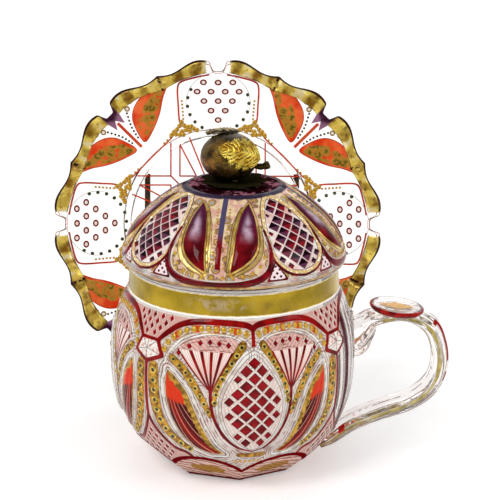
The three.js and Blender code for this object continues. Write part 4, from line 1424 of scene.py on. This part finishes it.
def stretch(turn, radius):
    """The scallops' stretch, and the share of it at a radius, which grows with its third power."""
    share = np.clip((radius - WELL_RADIUS) / (SAUCER_RADIUS - WELL_RADIUS), 0, 1) ** 3
    return 1 + (edge_radius(turn) / SAUCER_RADIUS - 1) * share, share


def stood_up(turn, radius, height):
    """Points of the saucer in space; turns run clockwise on the face, from the top medallion."""
    angle = np.radians(turn)
    flat = xyz(radius * np.sin(angle), radius * np.cos(angle), height)
    return flat @ np.array(SAUCER_TURN).T + np.array(SAUCER_PLACE)


# %% Saucer drawing
LEAF_RED = [(25.2, 71.6), (31, 69.6), (37.5, 65.4), (42, 59.6), (43.4, 53.6), (41.6, 47.6), (37.2, 41.2),
            (33, 47), (29.6, 55.4), (27.8, 63.4)]
LEAF_SCROLL = [(27.6, 65.6), (31, 66), (34, 62.6), (36.8, 58.4), (38.8, 53), (38.6, 47.4), (36.6, 44),
               (33.4, 48.4), (30.2, 55.4), (28.4, 62)]
FRAME = [(0, 75.4), (6, 74.8), (12, 73.6), (18.4, 71.6), (20.4, 68.8), (20.2, 60), (18.9, 50), (12, 46.8),
         (0, 45.6)]
BAND_INNER = [(0, 77), (6, 75.8), (14, 74.6), (19, 73.4), (22.5, 72.6), (26, 73.4), (32, 74.8), (39, 75),
              (45, 74)]
NOTCH_CLEAR, NOTCH_RUBY = (3.8, 5.0), (41.6, 42.4)      # turns where the gilt edge stops
MEDALLION_MIDDLE, MEDALLION_HALF = 61.0, (15.8, 14.8)
CREASE = 22.5       # turn where one scallop of the edge tucks under the next
STAR_LINES = [      # thin red lines of the well: from and to, across and outwards
    [(24, 23.6), (24, 41)], [(23.4, 43.6), (33.6, 33.6)], [(19.4, 40), (11, 24)], [(19.4, 24), (11, 24)],
    [(19.4, 24), (19.4, 40)], [(14.6, 43.6), (6.6, 24)], [(2.4, 2.4), (24, 24)]]


def in_medallion(p, q):
    """Distance from a medallion's middle as a share of the way to its edge."""
    return np.hypot(p / MEDALLION_HALF[0], (q - MEDALLION_MIDDLE) / MEDALLION_HALF[1])


def raised_medallion(p, q):
    return 0.5 * (1 - step_up(in_medallion(p, q), 0.96, 1.04))


def saucer_fields(points):
    """The pattern's numbers at points of the drawing."""
    p, q = points[..., 0], points[..., 1]
    turn, radius = np.degrees(np.arctan2(p, q)), np.linalg.norm(points, axis=-1)
    return {
        "leaf": to_outline(points, flowing(LEAF_RED, closed=True)[:-1]),
        "scroll": to_outline(points, flowing(LEAF_SCROLL, closed=True)[:-1]),
        "frame": to_outline(points, mirrored(flowing(FRAME))),
        "polar": xyz(turn, radius),
        "drawn": xyz(p, q),
        "rim": radius - np.interp(turn, *np.array(BAND_INNER).T),
    }


def saucer_relief(f):
    """Height over the plain face: a rolled gilt edge, crowned leaves and a raised medallion."""
    p, q, turn = f["drawn"][..., 0], f["drawn"][..., 1], f["polar"][..., 0]
    leaf = 0.8 * np.sqrt(np.clip(-f["leaf"] / 6, 0, 1))
    medallion = raised_medallion(p, q) + 0.25 * hump(in_medallion(p, q), 1.0, 0.03)
    frame = -0.4 * hump(f["frame"], 0, 0.7)
    ridge = 0.6 * hump(p, q, 1.8) * step_up(q, 36, 42)
    roll = np.sqrt(np.clip(1 - ((f["rim"] - 3.0) / 3.4) ** 2, 0, 1)) * step_up(turn, 3.5, 5)
    billow = 1 + 0.6 * np.cos(np.radians(turn - 11) * 360 / 23) - 1.1 * hump(turn, CREASE, 0.9)
    return leaf + medallion + frame + ridge + 0.9 * roll * billow


face_rows = np.concatenate([[0.4, 2, 4, 6, 8, 10, 12, 14, 16], np.linspace(18, 79.4, 78)])
eighth_turn, eighth_radius = np.meshgrid(np.linspace(0, EIGHTH, SAUCER_STEPS + 1), face_rows)
outwards = np.stack([np.sin(np.radians(eighth_turn)), np.cos(np.radians(eighth_turn))], -1)
saucer_drawing = saucer_fields(outwards * (eighth_radius * stretch(eighth_turn, eighth_radius)[0])[..., None])
saucer_field, saucer_swell = wrapped(saucer_drawing, saucer_relief, saucer_folded)

# %% Saucer finish
SAUCER_INDEX = 1.2      # the face is nearly flat and shows the sheet behind it without edges


def saucer_signals(f):
    """The numbers kept on the saucer's face, by name."""
    s = named_fields(f, "leaf scroll frame rim")
    s.turn, s.radius = f.pair("polar")
    s.p, s.q = f.pair("drawn")
    s.outer = s.radius.rise(-1, 0)
    s.cloud = f.noise(8)
    return s


def saucer_glass(f, s):
    clear_glass(f, index=SAUCER_INDEX)


def saucer_leaves(f, s):
    """Flame-red leaves with a scroll of small ochre curls along the side of the medallion."""
    ruby(f, f.mixed(s.cloud.rise(0.35, 0.65), "e03c18", "f4703a"), s.leaf.under(0))
    ruby(f, "a82410", abs(s.leaf + 0.1).under(0.22, 0.08) * s.outer * 0.8)
    away = f.cells(4.2, loose=0.6)
    curls = away.near(0.3, 0.12, 0.05) * f.noise(1.6, 1).rise(0.4, 0.5)
    ragged = (s.scroll + f.noise(3, 2) * 3 - 2.3).under(0)
    ochre = f.mixed(curls, f.mixed(f.noise(3), "b07c20", "d09c38"), "746410")
    bare = away.rise(0.62, 0.68)
    f.coat(ochre, ragged * s.leaf.under(-1.1) * (1 - bare), Metallic=0.3, Roughness=0.35)


def saucer_lines(f, s):
    """Red lines of the frames and of the star in the well, and a broad one below each notch."""
    frames = abs(s.frame).under(0.45) * s.q.rise(50, 51) * s.p.rise(4.2, 4.6)
    star = most_of([stroke(s.p, s.q, ends, 0.38) for ends in STAR_LINES])
    broad = s.p.near(s.q, 1.1) * s.radius.rise(54.6, 55) * s.radius.under(71.5)
    ruby(f, f.mixed(s.cloud.rise(0.3, 0.7), "a01c0c", "d04424"), most_of([frames, star]) * s.outer)
    ruby(f, f.mixed(s.cloud, "c8341c", "e4643c"), broad * s.outer)
    u, v = s.p / MEDALLION_HALF[0], (s.q - MEDALLION_MIDDLE) / MEDALLION_HALF[1]
    ruby(f, "8a8480", (u * u + v * v).near(1.06, 0.025, 0.012) * s.q.rise(48, 66) * 0.7)


def saucer_edge(f, s):
    """Gilding on the scalloped edge, broken by bare glass at the medallions and plum stain at the
    notches, with painted reflection streaks and highlights on the gold, and painted shade in the
    creases, along the gilding's inner edge and on the glass's outer edge."""
    off = abs(s.turn - 45)
    stain = f.mixed((s.radius - off * 0.8).rise(71.5, 74.5), "9c6c8c", "3c0c2c")
    ruby(f, stain, off.under((s.radius - 69) * 0.16 + 2.2) * (s.radius + off * 1.8).rise(72.9, 73.3))
    gold = s.rim.rise(-0.1, 0.1) * s.turn.rise(*NOTCH_CLEAR) * s.turn.rise(NOTCH_RUBY[1], NOTCH_RUBY[0])
    patches = f.noise(8, 2).rise(0.38, 0.6)
    # painted reflections: light and dark streaks across the gold band
    streaks = (s.turn * 0.9 + f.noise(14) * 7).wave().rise(-0.6, 0.9)
    shade = f.mixed((patches * 0.6 + streaks * 0.7).least(1.0), "8e6610", "ffe468")
    shade = f.mixed(f.noise(2.6, 3).rise(0.54, 0.68) * 0.6, shade, "6a4808")
    # painted highlights where the streaks peak
    shade = f.mixed(streaks.rise(0.8, 1.0) * f.noise(7, 2).rise(0.48, 0.6) * 0.7, shade, "fff6c8")
    f.coat(shade, gold, Metallic=0.4, Roughness=0.25)
    # painted shade: dark in the creases, along the gilding's inner edge and on the very edge of the glass
    crease_shade = s.turn.near(CREASE, 0.55, 0.2) * s.rim.rise(-1, 0.4) * f.noise(2.4).rise(0.42, 0.5)
    inner_edge_shadow = abs(s.rim).under(0.14, 0.08).most(abs(s.rim).under(0.42, 0.2) * f.noise(9).rise(0.5, 0.56))
    outer_edge_shade = s.rim.rise(7, 8) * s.rim.rise(8.9, 8.8) * s.turn.rise(*NOTCH_CLEAR)
    ruby(f, "34140c", most_of([crease_shade, inner_edge_shadow * gold.rise(0.0, 0.4) * 0.8, outer_edge_shade]))


saucer_finish = stacked("saucer_cut_glass", saucer_signals, (
    saucer_glass, saucer_leaves, saucer_lines, saucer_edge))

# %% Saucer mesh
RIM, RIM_TOP = SAUCER_RADIUS - 0.1, face_height(SAUCER_RADIUS)
EDGE = [(RIM - 0.9, RIM_TOP - 0.15), (RIM - 0.2, RIM_TOP - 0.7), (RIM, RIM_TOP - 1.5),
        (RIM - 0.2, RIM_TOP - EDGE_THICK + 0.7), (RIM - 1, RIM_TOP - EDGE_THICK)]
BACK = [(r, face_height(r) - SAUCER_THICK + (SAUCER_THICK - EDGE_THICK) * step_up(r, 60, 80))
        for r in (78, 74, 70, 66, 62, 58, 54, 51)]
FOOT = [(FOOT_OUT + 0.8, FOOT_HEIGHT), (FOOT_OUT, 0.5), (FOOT_OUT - 0.5, 0), (FOOT_IN + 0.5, 0),
        (FOOT_IN, 0.5)]
UNDER = [(r, FOOT_HEIGHT) for r in (FOOT_IN - 0.8, 38, 28, 18, 8)]
EDGE_MARK = 8.5     # stands for the very edge in the field of the rim


def saucer_ring(radius, height):
    """One ring, stretched to the scallops and waved towards the edge like the pressed glass."""
    scale, share = stretch(saucer_turns, radius)
    wave = RIM_WAVE * np.cos(np.radians(16 * saucer_turns)) * share
    return stood_up(saucer_turns, radius * scale, height + wave)


rings = np.stack([saucer_ring(r, face_height(r) + swell) for r, swell in zip(face_rows, saucer_swell)]
                 + [saucer_ring(r, height) for r, height in EDGE + BACK + FOOT + UNDER])
fields = spread(saucer_field, 0, len(rings), negative=["rim", "polar", "drawn"])
edge = slice(len(face_rows), len(face_rows) + len(EDGE))
fields["rim"][edge] = EDGE_MARK
fields["polar"][edge] = saucer_field["polar"][-1]
ring_mesh("saucer_glass", rings, "saucer", saucer_finish, "saucer", fields=fields)

# %% [markdown]
# Dots and florets on the saucer
#
# Each medallion holds thirteen round cuts with a red ring, inside an arc of dark green dots. Gilt
# florets of small beads sit at its lower corners, and lines of dots run along the leaves.

# %% Saucer dots
CUT_ROWS = [(71.3, (0, 7.4)), (66.7, (3.6, 10.6)), (62, (0, 7.2)), (57.2, (3.6,)), (52.5, (0,))]
CUT_PROFILE = [(1.0, -0.2), (0.98, 0.15), (0.85, 0.3), (0.7, 0.25), (0.4, 0.0)]
DOT_PROFILE = [(1.0, -0.2), (0.9, 0.2), (0.5, 0.4)]
FLORET = [(18.6, 51.4), (19.6, 49.4), (20.9, 47.6), (17.2, 49.6), (15.4, 49), (13.6, 49.2), (12.2, 48),
          (16.4, 47.4), (22.4, 46.4), (18.4, 46.6), (23.6, 44.8), (14.4, 47), (21.4, 45.2), (10.8, 47.4),
          (19.4, 45), (17.6, 45)]
CURLS = [(42.4, 64.8), (44.6, 61.6), (45.9, 57.8)]


def on_saucer(medallion):
    """The ground for stamps on a quarter of the face: across and outwards from a medallion."""
    def place(p, q, lift):
        radius = np.hypot(p, q)
        height = face_height(radius) + raised_medallion(p, q) + lift
        return stood_up(medallion + np.degrees(np.arctan2(p, q)), radius, height)
    return place


def ringed_finish(name, ring, middle, limit):
    """One colour on the rim of a round shape and another in its middle."""
    f = Finish(name)
    f.coat(ring, Roughness=0.2, Specular_IOR_Level=0.1)
    f.coat(middle, away_from_middle(f, "local").under(limit, 0.06), Roughness=0.1)
    return f.done()


cuts = [(p, q) for q, row in CUT_ROWS for p in row]
arc_turns = np.radians(np.arange(-118, 119, 17.3))
arc_dots = np.column_stack([15.6 * np.sin(arc_turns), MEDALLION_MIDDLE - 14.4 * np.cos(arc_turns)])
leaf_dots = paced(flowing([(46, 55.6), (43.7, 48.6), (39.9, 42.4)]), 1.9)
frame_beads = paced(flowing([(18.4, 62), (17.9, 56), (17.6, 51.6)]), 1.8)
chord_beads = paced(flowing([(22.8, 45.4), (25.4, 42.6), (28, 40)]), 2.2)
fine_dots = np.concatenate([frame_beads, chord_beads])
green_dots = ringed_finish("green_dots", "6c7448", "26301c", 0.8)
stamp_panels((0, 90, 180, 270), on_saucer, "saucer", [
    ("medallion_cuts", bead(CUT_PROFILE, 14), both_halves(cuts, 1.85, 1.5),
     ringed_finish("ringed_cuts", "801a10", "fdf4ee", 0.5)),
    ("medallion_dots", bead(DOT_PROFILE), sized(arc_dots, 0.95), green_dots),
    ("florets", DROP_SHAPE, both_halves(FLORET, 1.25), drop_gilding),
    ("leaf_dots", bead(DOT_PROFILE, 8), both_halves(leaf_dots, 0.62), green_dots),
    ("leaf_curls", bead(CUT_PROFILE, 12), both_halves(CURLS, 1.45),
     ringed_finish("curl_rings", "8c6c18", "fbf4e6", 0.5)),
    ("fine_dots", bead(DOT_PROFILE, 8), both_halves(fine_dots, 0.62), drop_gilding)])

# %% [markdown]
# The handle
#
# The handle was drawn as a thick rod, flattened on eight sides while it was soft, and bent from the
# belly over the thumb rest and back under. The ring of points at each step along its middle line is
# an octagon whose sides are slightly hollow.

# %% Handle shape
HANDLE_PATH = [     # out from the axis, up, width across, thickness
    (52.0, 60.3, 14, 22), (55.4, 60.2, 14, 21.5), (59, 62.6, 14, 13.6), (62.6, 66.4, 14, 9),
    (68.1, 68.4, 16, 6.5), (74.6, 69.4, 17, 5.5), (82.1, 68.4, 15, 6.5), (89.9, 64, 14, 8),
    (93.5, 56.6, 13, 8), (94.9, 48, 13, 8), (93.4, 39.4, 13, 8), (88.7, 32.2, 14, 8.5),
    (80.9, 26.8, 15, 8.5), (71.9, 23.6, 16, 8.5), (62.9, 20, 16, 8.5), (54.1, 15.9, 16, 8),
    (45.4, 9.1, 14, 7), (40.4, 5.4, 10.5, 4.4)]
HANDLE_SIDES = 8
HANDLE_HOLLOW = 0.06        # depth of the hollow sides, as a share of the half width
THUMB_REST = (74.6, 73.4)   # its middle, out from the axis and up
THUMB_TILT = 6.5


def flat_sided(angle):
    """Distance from an octagon's middle to its sides: one over the cosine of the turn from a side's
    middle, less a squared cosine for the hollow."""
    step = 2 * np.pi / HANDLE_SIDES
    off = (angle + step / 2) % step - step / 2
    corner = 1 / math.cos(step / 2)
    softened = np.minimum(1 / np.cos(off), corner * 0.985)
    return softened - HANDLE_HOLLOW * np.cos(off * HANDLE_SIDES / 2) ** 2


def unit(vectors):
    """The same directions at length 1."""
    vectors = np.asarray(vectors, float)
    return vectors / np.linalg.norm(vectors, axis=-1, keepdims=True)


def handle_rings():
    """Rings across the middle line; each one's angle runs from the outer side to the front side."""
    path = flowing(HANDLE_PATH, steps=9)
    middle, size = path[:, :2], path[:, 2:]
    ahead = unit(np.gradient(middle, axis=0))
    outwards = np.stack([-ahead[:, 1], ahead[:, 0]], -1)
    angle = full_turn(64)
    reach = flat_sided(angle)
    out = reach * np.cos(angle) * size[:, 1:] / 2
    front = reach * np.sin(angle) * size[:, :1] / 2
    rings = xyz(middle[:, :1] + outwards[:, :1] * out, -front, middle[:, 1:] + outwards[:, 1:] * out)
    return rings, xyz(np.cos(angle), np.sin(angle), walk(middle)[:, None])


def handle_finish():
    """Clear glass with an olive-gold band along the front and back, a broken ruby line on the grip
    and a small ruby dab where the bar leaves the barrel."""
    f = Finish("handle_glass")
    outer, front, along = f.three("section")
    across = f.spot()[0]
    clear_glass(f, "fffaf8", edge=1.0)
    band = abs(outer + 0.08).under(0.2, 0.03) * along.rise(16, 20)
    gild(f, "c0aa54", "8c7c34", band * (f.noise(6, 2).rise(0.34, 0.5) * 0.5 + 0.4), 5)
    ridges = most_of([abs(outer).near(level, 0.02, 0.01) for level in (0.36, 0.92)]) * along.rise(16, 20)
    ruby(f, HAIRLINE, ridges * f.noise(5).rise(0.4, 0.55) * 0.7)
    gaps = most_of([along.near(middle, 2.4, 0.3) for middle in (62, 71)])
    grip = front.near(0.48, 0.13, 0.03) * outer.rise(0, 0.1) * along.rise(41, 42) * along.under(98, 1)
    knot = front.rise(0.1, 0.2) * front.under(0.85, 0.03) * outer.rise(0, 0.1) * along.near(42, 0.8)
    ruby(f, f.mixed(along.rise(60, 80), RUBY_BRIGHT, "6c1410"), (grip * (1 - gaps)).most(knot))
    low = along.rise(110, 114) * front.rise(0, 0.1)
    dab = across.rise(48.4, 48.8) * across.under(51.4) * abs(outer + 0.42).under(0.3, 0.04) * low
    dash = across.rise(55, 55.6) * across.under(62) * abs(outer + 0.88).under(0.07, 0.03) * low
    ruby(f, "cc2018", dab.most(dash))
    return f.done()


rings, section = handle_rings()
ring_mesh("handle_bar", rings, "cup", handle_finish(), "handle", fields={"section": section})

# %% Thumb rest
REST_PROFILE = [(3, -3.4), (7, -3.4), (10.1, -3.3), (11.4, -2.6), (12.3, -1.6), (12.6, -0.9), (12.4, -0.3),
                (11.9, 0), (10.8, -0.05), (8.5, -0.25), (5, -0.4), (2, -0.45)]


def thumb_finish():
    """A clear disc with a ruby rim and a gilt leaf painted on its middle."""
    f = Finish("thumb_rest_glass")
    u, v = f.pair("flat")
    radius = away_from_middle(f, "flat")
    clear_glass(f, "fffaf8")
    red = f.mixed(f.noise(6).rise(0.4, 0.6), RUBY_DEEP, "b01c18")
    ruby(f, red, radius.rise(11.5, 11.7) * (v + u * 0.5).under(5))
    ruby(f, HAIRLINE, radius.near(11.2, 0.14, 0.07))
    leaf = (abs(u) / 8.6 + abs(v) / 4.6 + (u * 1.9).wave() * 0.06).under(1.0, 0.05)
    veins = ((u / 1.7 + abs(v) * 0.6) % 1).near(0.5, 0.1, 0.05)
    gild(f, "e4ac3c", "c07a2c", leaf)
    gild(f, "8c9048", "6c6c30", veins * leaf * 0.8)
    return f.done()


disc = turned(REST_PROFILE, 72)
tilt = np.array(Matrix.Rotation(math.radians(THUMB_TILT), 3, "Y"))
ring_mesh("handle_thumb_rest", disc @ tilt.T + [THUMB_REST[0], 0, THUMB_REST[1]], "cup", thumb_finish(),
          fields={"flat": disc * [1, 1, 0]})

# %% [markdown]
# The finial
#
# A fruit with its leaf and stalk was cast in bronze, chased and gilded. Wear has left the gold bright
# on the leaf, while the fruit and the rosette under it have gone brown and olive. Painted shade darkens
# the fruit's underside and makes the rosette nearly black.

# %% Finial shape
FRUIT_MIDDLE = np.array([-2.2, 0, 142.9])
FRUIT_RADII = np.array([13, 13, 10.8])
LEAF_THICK = 1.3
LOBES, VEINS, VEIN_SLANT = 5, 10, 3.2


def on_fruit(direction, above):
    """The place on the fruit's skin, or above it, in a direction given by unit vectors."""
    return FRUIT_MIDDLE + direction * (FRUIT_RADII + np.asarray(above)[..., None])


def fruit_rings(count=56, points=96):
    """An egg-shaped ball of latitude rings, with shallow pits of a rough cast skin."""
    latitude = np.linspace(-np.pi / 2, np.pi / 2, count + 2)[1:-1, None]
    turn = full_turn(points)
    level = np.cos(latitude)
    rough = 0.08 * np.sin(9 * turn + 4 * np.sin(3 * latitude)) * level - 0.08
    return on_fruit(xyz(level * np.cos(turn), level * np.sin(turn), np.sin(latitude)), rough)


def leaf_rings(root, tip, half_width, lift, serration, count=200, across=52):
    """A leaf bent over the fruit. Each ring crosses it over the top and back underneath. The width
    is a sine bell with lobes and teeth, and the slanting side veins are a sine's absolute value."""
    root, tip = unit(root), unit(tip)
    span = math.acos(root @ tip)
    ahead = unit(tip - root * (root @ tip))
    along = np.linspace(0.004, 0.996, count)[:, None]
    spine = root * np.cos(along * span) + ahead * np.sin(along * span)
    side = np.cross(spine, ahead * np.cos(along * span) - root * np.sin(along * span))
    bell = np.sin(np.pi * along ** 0.8) ** 0.75
    lobes = 0.72 + 0.34 * np.abs(np.sin(LOBES * np.pi * along)) ** 0.7
    teeth = 1 + serration * (((along * 4 * LOBES) % 1) - 0.5)
    width = 0.03 + half_width * bell * lobes * teeth
    edge = np.concatenate([np.linspace(-1, 1, across), np.linspace(1, -1, across)[1:-1]])
    top = np.concatenate([np.ones(across), np.zeros(across - 2)])
    turn = edge * width
    direction = spine[:, None] * np.cos(turn)[..., None] + side[:, None] * np.sin(turn)[..., None]
    crown = LEAF_THICK * (1 - 0.5 * edge ** 2)
    groove = np.abs(np.sin(np.pi * (along * VEINS - np.abs(edge) * VEIN_SLANT))) ** 0.6
    rib = hump(edge, 0, 0.09)
    relief = (0.6 * groove - 0.4) * (1 - edge ** 2) ** 0.4 + 0.35 * rib
    height = 0.3 + lift * along ** 2 + top * (crown + relief)
    return on_fruit(direction, height), xyz(np.maximum(groove, rib) * top, np.abs(edge), along)


# %% Finial finishes
def bronze(name, light, dark, rough=0.34, metal=0.9, gloss=0.5):
    """Gilt bronze: light where it is rubbed, dark in the hollows and in cloudy patches."""
    f = Finish(name)
    cloud, grain = f.noise(6, 4).rise(0.35, 0.65), f.noise(0.7, 2)
    hollow = f.signal("ShaderNodeNewGeometry", "Pointiness").rise(0.47, 0.52)
    colour = f.mixed((cloud * 0.6 + hollow * 0.6).least(1.0), dark, light)
    f.coat(colour, Metallic=metal, Specular_IOR_Level=gloss, Roughness=grain * 0.3 + rough - 0.1,
           Normal=f.bump(grain, 0.15))
    return f.done()


def fruit_finish():
    """Dull gilding gone brown, with a painted orange-brown reflection low on the left, painted shade that
    makes it nearly black underneath, and a fine net of cracks.
    """
    f = Finish("fruit_bronze")
    left, _, up = f.spot()
    body = f.mixed(f.noise(5, 4).rise(0.38, 0.66), "382a0e", "846426")
    # painted reflection: an orange-brown patch low on the left
    lower_left_reflection = left.rise(-6, -13) * up.rise(147, 140) * f.noise(2.5, 3).rise(0.4, 0.6)
    body = f.mixed(lower_left_reflection * 0.7, body, "b4642c")
    # painted shade: darker towards the bottom, nearly black underneath
    body = f.mixed(up.rise(142, 134) * 0.9, body, "0e0a05")
    body = f.mixed(f.cells(1.6, "DISTANCE_TO_EDGE").under(0.05, 0.04) * 0.5, body, "1c1408")
    grain = f.noise(0.7, 2)
    f.coat(body, Metallic=0.8, Roughness=grain * 0.25 + 0.28, Normal=f.bump(grain, 0.2))
    return f.done()


def leaf_finish(name, light, dark, hollow, strength=1.0):
    """Gilding, bright on the veins and dark with patina in the grooves, with painted shadow along the edge.
    """
    f = Finish(name)
    ridge, edge = f.pair("marks")
    patina_and_shade = f.noise(2.5, 2).rise(0.25, 0.6)
    body = f.mixed(f.noise(4, 3).rise(0.35, 0.65), dark, light)
    # darker in the grooves, where patina lies, and painted shadow along the leaf's edge
    body = f.mixed(ridge.rise(0.8, 0.4).most(edge.rise(0.9, 0.99)) * patina_and_shade * strength, body, hollow)
    grain = f.noise(0.6, 2)
    f.coat(body, Metallic=0.8, Roughness=grain * 0.2 + 0.2, Normal=f.bump(grain, 0.1))
    return f.done()


bright_gilt = leaf_finish("leaf_gilding", "fce468", "c49420", "241804")
dull_gilt = leaf_finish("back_leaf_gilding", "a8925c", "5c4c24", "181206", strength=0.8)
ring_mesh("fruit", fruit_rings(), "cover", fruit_finish(), "finial_fruit")
front, marks = leaf_rings(root=(0.8, -0.3, 0.0), tip=(-0.33, -0.78, 0.53),
                          half_width=0.62, lift=0.0, serration=0.2)
ring_mesh("leaf_front", front, "cover", bright_gilt, "finial_leaf_front",
          fields={"marks": marks}, sharp=60)
back, marks = leaf_rings(root=(0.3, 0.5, 0.85), tip=(-0.75, 0.1, 0.85),
                         half_width=0.42, lift=1.4, serration=0.1)
ring_mesh("leaf_back", back, "cover", dull_gilt, "finial_leaf_back",
          fields={"marks": marks}, sharp=60)

# %% Rosette and stalk
CALYX_RADIUS, CALYX_LOBES, CALYX_HEIGHT, CALYX_BORE = 14.0, 9, 130.7, 1.8
CALYX_PROFILE = [(CALYX_BORE, 0.2), (2.2, 0), (6.3, 0), (11.2, 0), (13.4, 0.2), (14, 0.55), (13.4, 1.0),
                 (11.2, 1.1), (8, 1.1), (6.3, 1.1), (2.2, 1.1), (CALYX_BORE, 0.9)]


def calyx_rings():
    """A thin disc curled up at its edge; a cosine of nine times the turn makes its lobes."""
    x, y, z = np.moveaxis(turned(CALYX_PROFILE, 216), -1, 0)
    edge = step_up(np.hypot(x, y), CALYX_RADIUS * 0.35, CALYX_RADIUS)
    lobe = np.cos(CALYX_LOBES * np.arctan2(y, x))
    scale = 1 + 0.12 * edge * lobe
    return xyz(x * scale, y * scale, z + CALYX_HEIGHT + edge * (0.7 + 0.3 * lobe))


def tube(points, radius):
    """Rings round a smooth path with rounded ends; the radius may change on the way."""
    path = flowing(points, steps=6) if len(points) > 2 else np.linspace(points[0], points[-1], 6)
    radii = np.interp(np.linspace(0, 1, len(path)), np.linspace(0, 1, np.size(radius)), np.ravel(radius))
    ahead = unit(np.gradient(path, axis=0))
    first = unit(np.cross(ahead[0], [0.31, 0.77, 0.55]))
    sides = unit(first - ahead * (ahead @ first)[:, None])
    others = np.cross(ahead, sides)
    angle = full_turn(24)
    circle = np.cos(angle)[:, None] * sides[:, None] + np.sin(angle)[:, None] * others[:, None]
    body = path[:, None] + radii[:, None, None] * circle
    bends = np.sin(np.radians([15, 40, 65, 85]))
    start = [path[0] + radii[0] * (0.5 * (1 - b) * ahead[0] + b * circle[0]) for b in bends]
    end = [path[-1] + radii[-1] * (0.5 * (b - 1) * ahead[-1] + b * circle[-1]) for b in bends[::-1]]
    return np.concatenate([start, body[1:-1], end])


# the rosette: dark bronze without gloss, made nearly black partly by painted shade under the fruit
base_bronze = bronze("calyx_bronze", "241f10", "070504", rough=0.6, metal=0.0, gloss=0.0)
ring_mesh("calyx", calyx_rings(), "cover", base_bronze, "finial_calyx", looped=True)
stalk_way = unit((1, -0.12, -0.42))
stalk = on_fruit(stalk_way, -0.5) + [(0, 0, 0), (2.4, -0.3, -0.2), (4.6, -0.5, 0.2), (6.3, -0.6, 1.0)]
ring_mesh("stalk", tube(stalk, [1.2, 1.3, 1.5, 1.35, 1.7, 1.9, 1.5]), "cover",
          bronze("stalk_bronze", "4c3c1c", "120e06"), "finial_stalk")

# %% [markdown]
# The easel and the brass inside the cover
#
# The easel is bent from dark lacquered wire: two uprights behind the saucer, each with a ledge that
# runs forward under the saucer's edge and a leg that goes back, and two crossbars. Its wires lie in
# the saucer's own leaning frame. The stud that holds the finial, its washer and its nut are turned
# brass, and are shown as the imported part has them.

# %% Easel
WIRE, WIRE_GAP = 1.5, 0.3
EASEL_MIDDLE, EASEL_WIDTH = 2.0, 76.5
UPRIGHT_TOP, LEG_TOP, LEG_SPREAD = 25.0, -8.0, 58.0
LEDGE_TIP, LEDGE_CLEAR = 9.0, 3.5
CROSSBARS = {"lower": -52.0, "upper": -4.0}
BEHIND = -(WIRE + WIRE_GAP)     # the uprights' axes, behind the saucer's foot


def in_saucer_frame(x, y, height):
    """The place of a point that is given across, up and in front of the saucer's foot."""
    return np.array(SAUCER_TURN) @ np.array([x, y, height], float) + np.array(SAUCER_PLACE)


def on_upright(x, level):
    """The point of an upright's middle line at a level above the table."""
    low = in_saucer_frame(x, 0, BEHIND)
    up = in_saucer_frame(x, 1, BEHIND) - low
    return low + up * (level - low[2]) / up[2]


def ledge_path(x):
    """From the upright forward under the edge of the saucer, and up in front of it."""
    turn = 180 - math.degrees(math.asin(x / SAUCER_RADIUS))
    edge = float(edge_radius(np.array(turn)))
    wave = RIM_WAVE * math.cos(math.radians(16 * turn))
    under = in_saucer_frame(x, -math.sqrt(edge ** 2 - x ** 2), WELL_HEIGHT + SAUCER_DEPTH - EDGE_THICK + wave)
    level = under[2] - 2 * WIRE_GAP - WIRE
    back = on_upright(x, level)
    start = back[1] - (WIRE + WIRE_GAP) * 1.04
    front = under[1] - EDGE_THICK - LEDGE_CLEAR - WIRE
    steps = [(start, 0), (start - 6, 0), (front + 6, 0), (front + 2.6, 0), (front + 0.6, 0.9),
             (front - 0.4, 2.6), (front - 1.0, 5.4), (front - 1.6, LEDGE_TIP)]
    return [(back[0], y, level + up) for y, up in steps]


def leg_path(x):
    """From behind the upright down and back to the table."""
    joint = in_saucer_frame(x, LEG_TOP, BEHIND)
    away = in_saucer_frame(0, 0, -1) - in_saucer_frame(0, 0, 0)
    return [joint + away * (2 * WIRE + WIRE_GAP), on_upright(x, 0) + [0, LEG_SPREAD, WIRE]]


def wire_finish():
    """Dark lacquer over wire, rubbed to brown metal here and there."""
    f = Finish("lacquered_wire")
    rubbed = f.noise(7, 4).rise(0.52, 0.62)
    f.coat(f.mixed(rubbed, "1c140e", "5c4028"), Metallic=rubbed * 0.7 + 0.2,
           Roughness=f.noise(1.5) * 0.3 + 0.25)
    return f.done()


lacquer = wire_finish()
left, right = EASEL_MIDDLE - EASEL_WIDTH / 2, EASEL_MIDDLE + EASEL_WIDTH / 2
inset = WIRE + WIRE_GAP
wires = {}
for word, x in (("left", left), ("right", right)):
    wires[f"upright_{word}"] = [on_upright(x, WIRE), in_saucer_frame(x, UPRIGHT_TOP, BEHIND)]
    wires[f"ledge_{word}"] = ledge_path(x)
    wires[f"leg_{word}"] = leg_path(x)
for word, level in CROSSBARS.items():
    wires[f"crossbar_{word}"] = [in_saucer_frame(x, level, BEHIND) for x in (left + inset, right - inset)]
for word, path in wires.items():
    ring_mesh(f"wire_{word}", tube(np.array(path), WIRE), "cup", lacquer, f"easel_{word}")

# %% Brass parts
turned_brass = bronze("turned_brass", "c8a458", "8c6c30", rough=0.3)
for word in ("finial_stud", "finial_washer", "finial_nut"):
    metal = frame["nodes"][word].data.materials
    metal.clear()
    metal.append(turned_brass)
    print(word, "in turned brass")
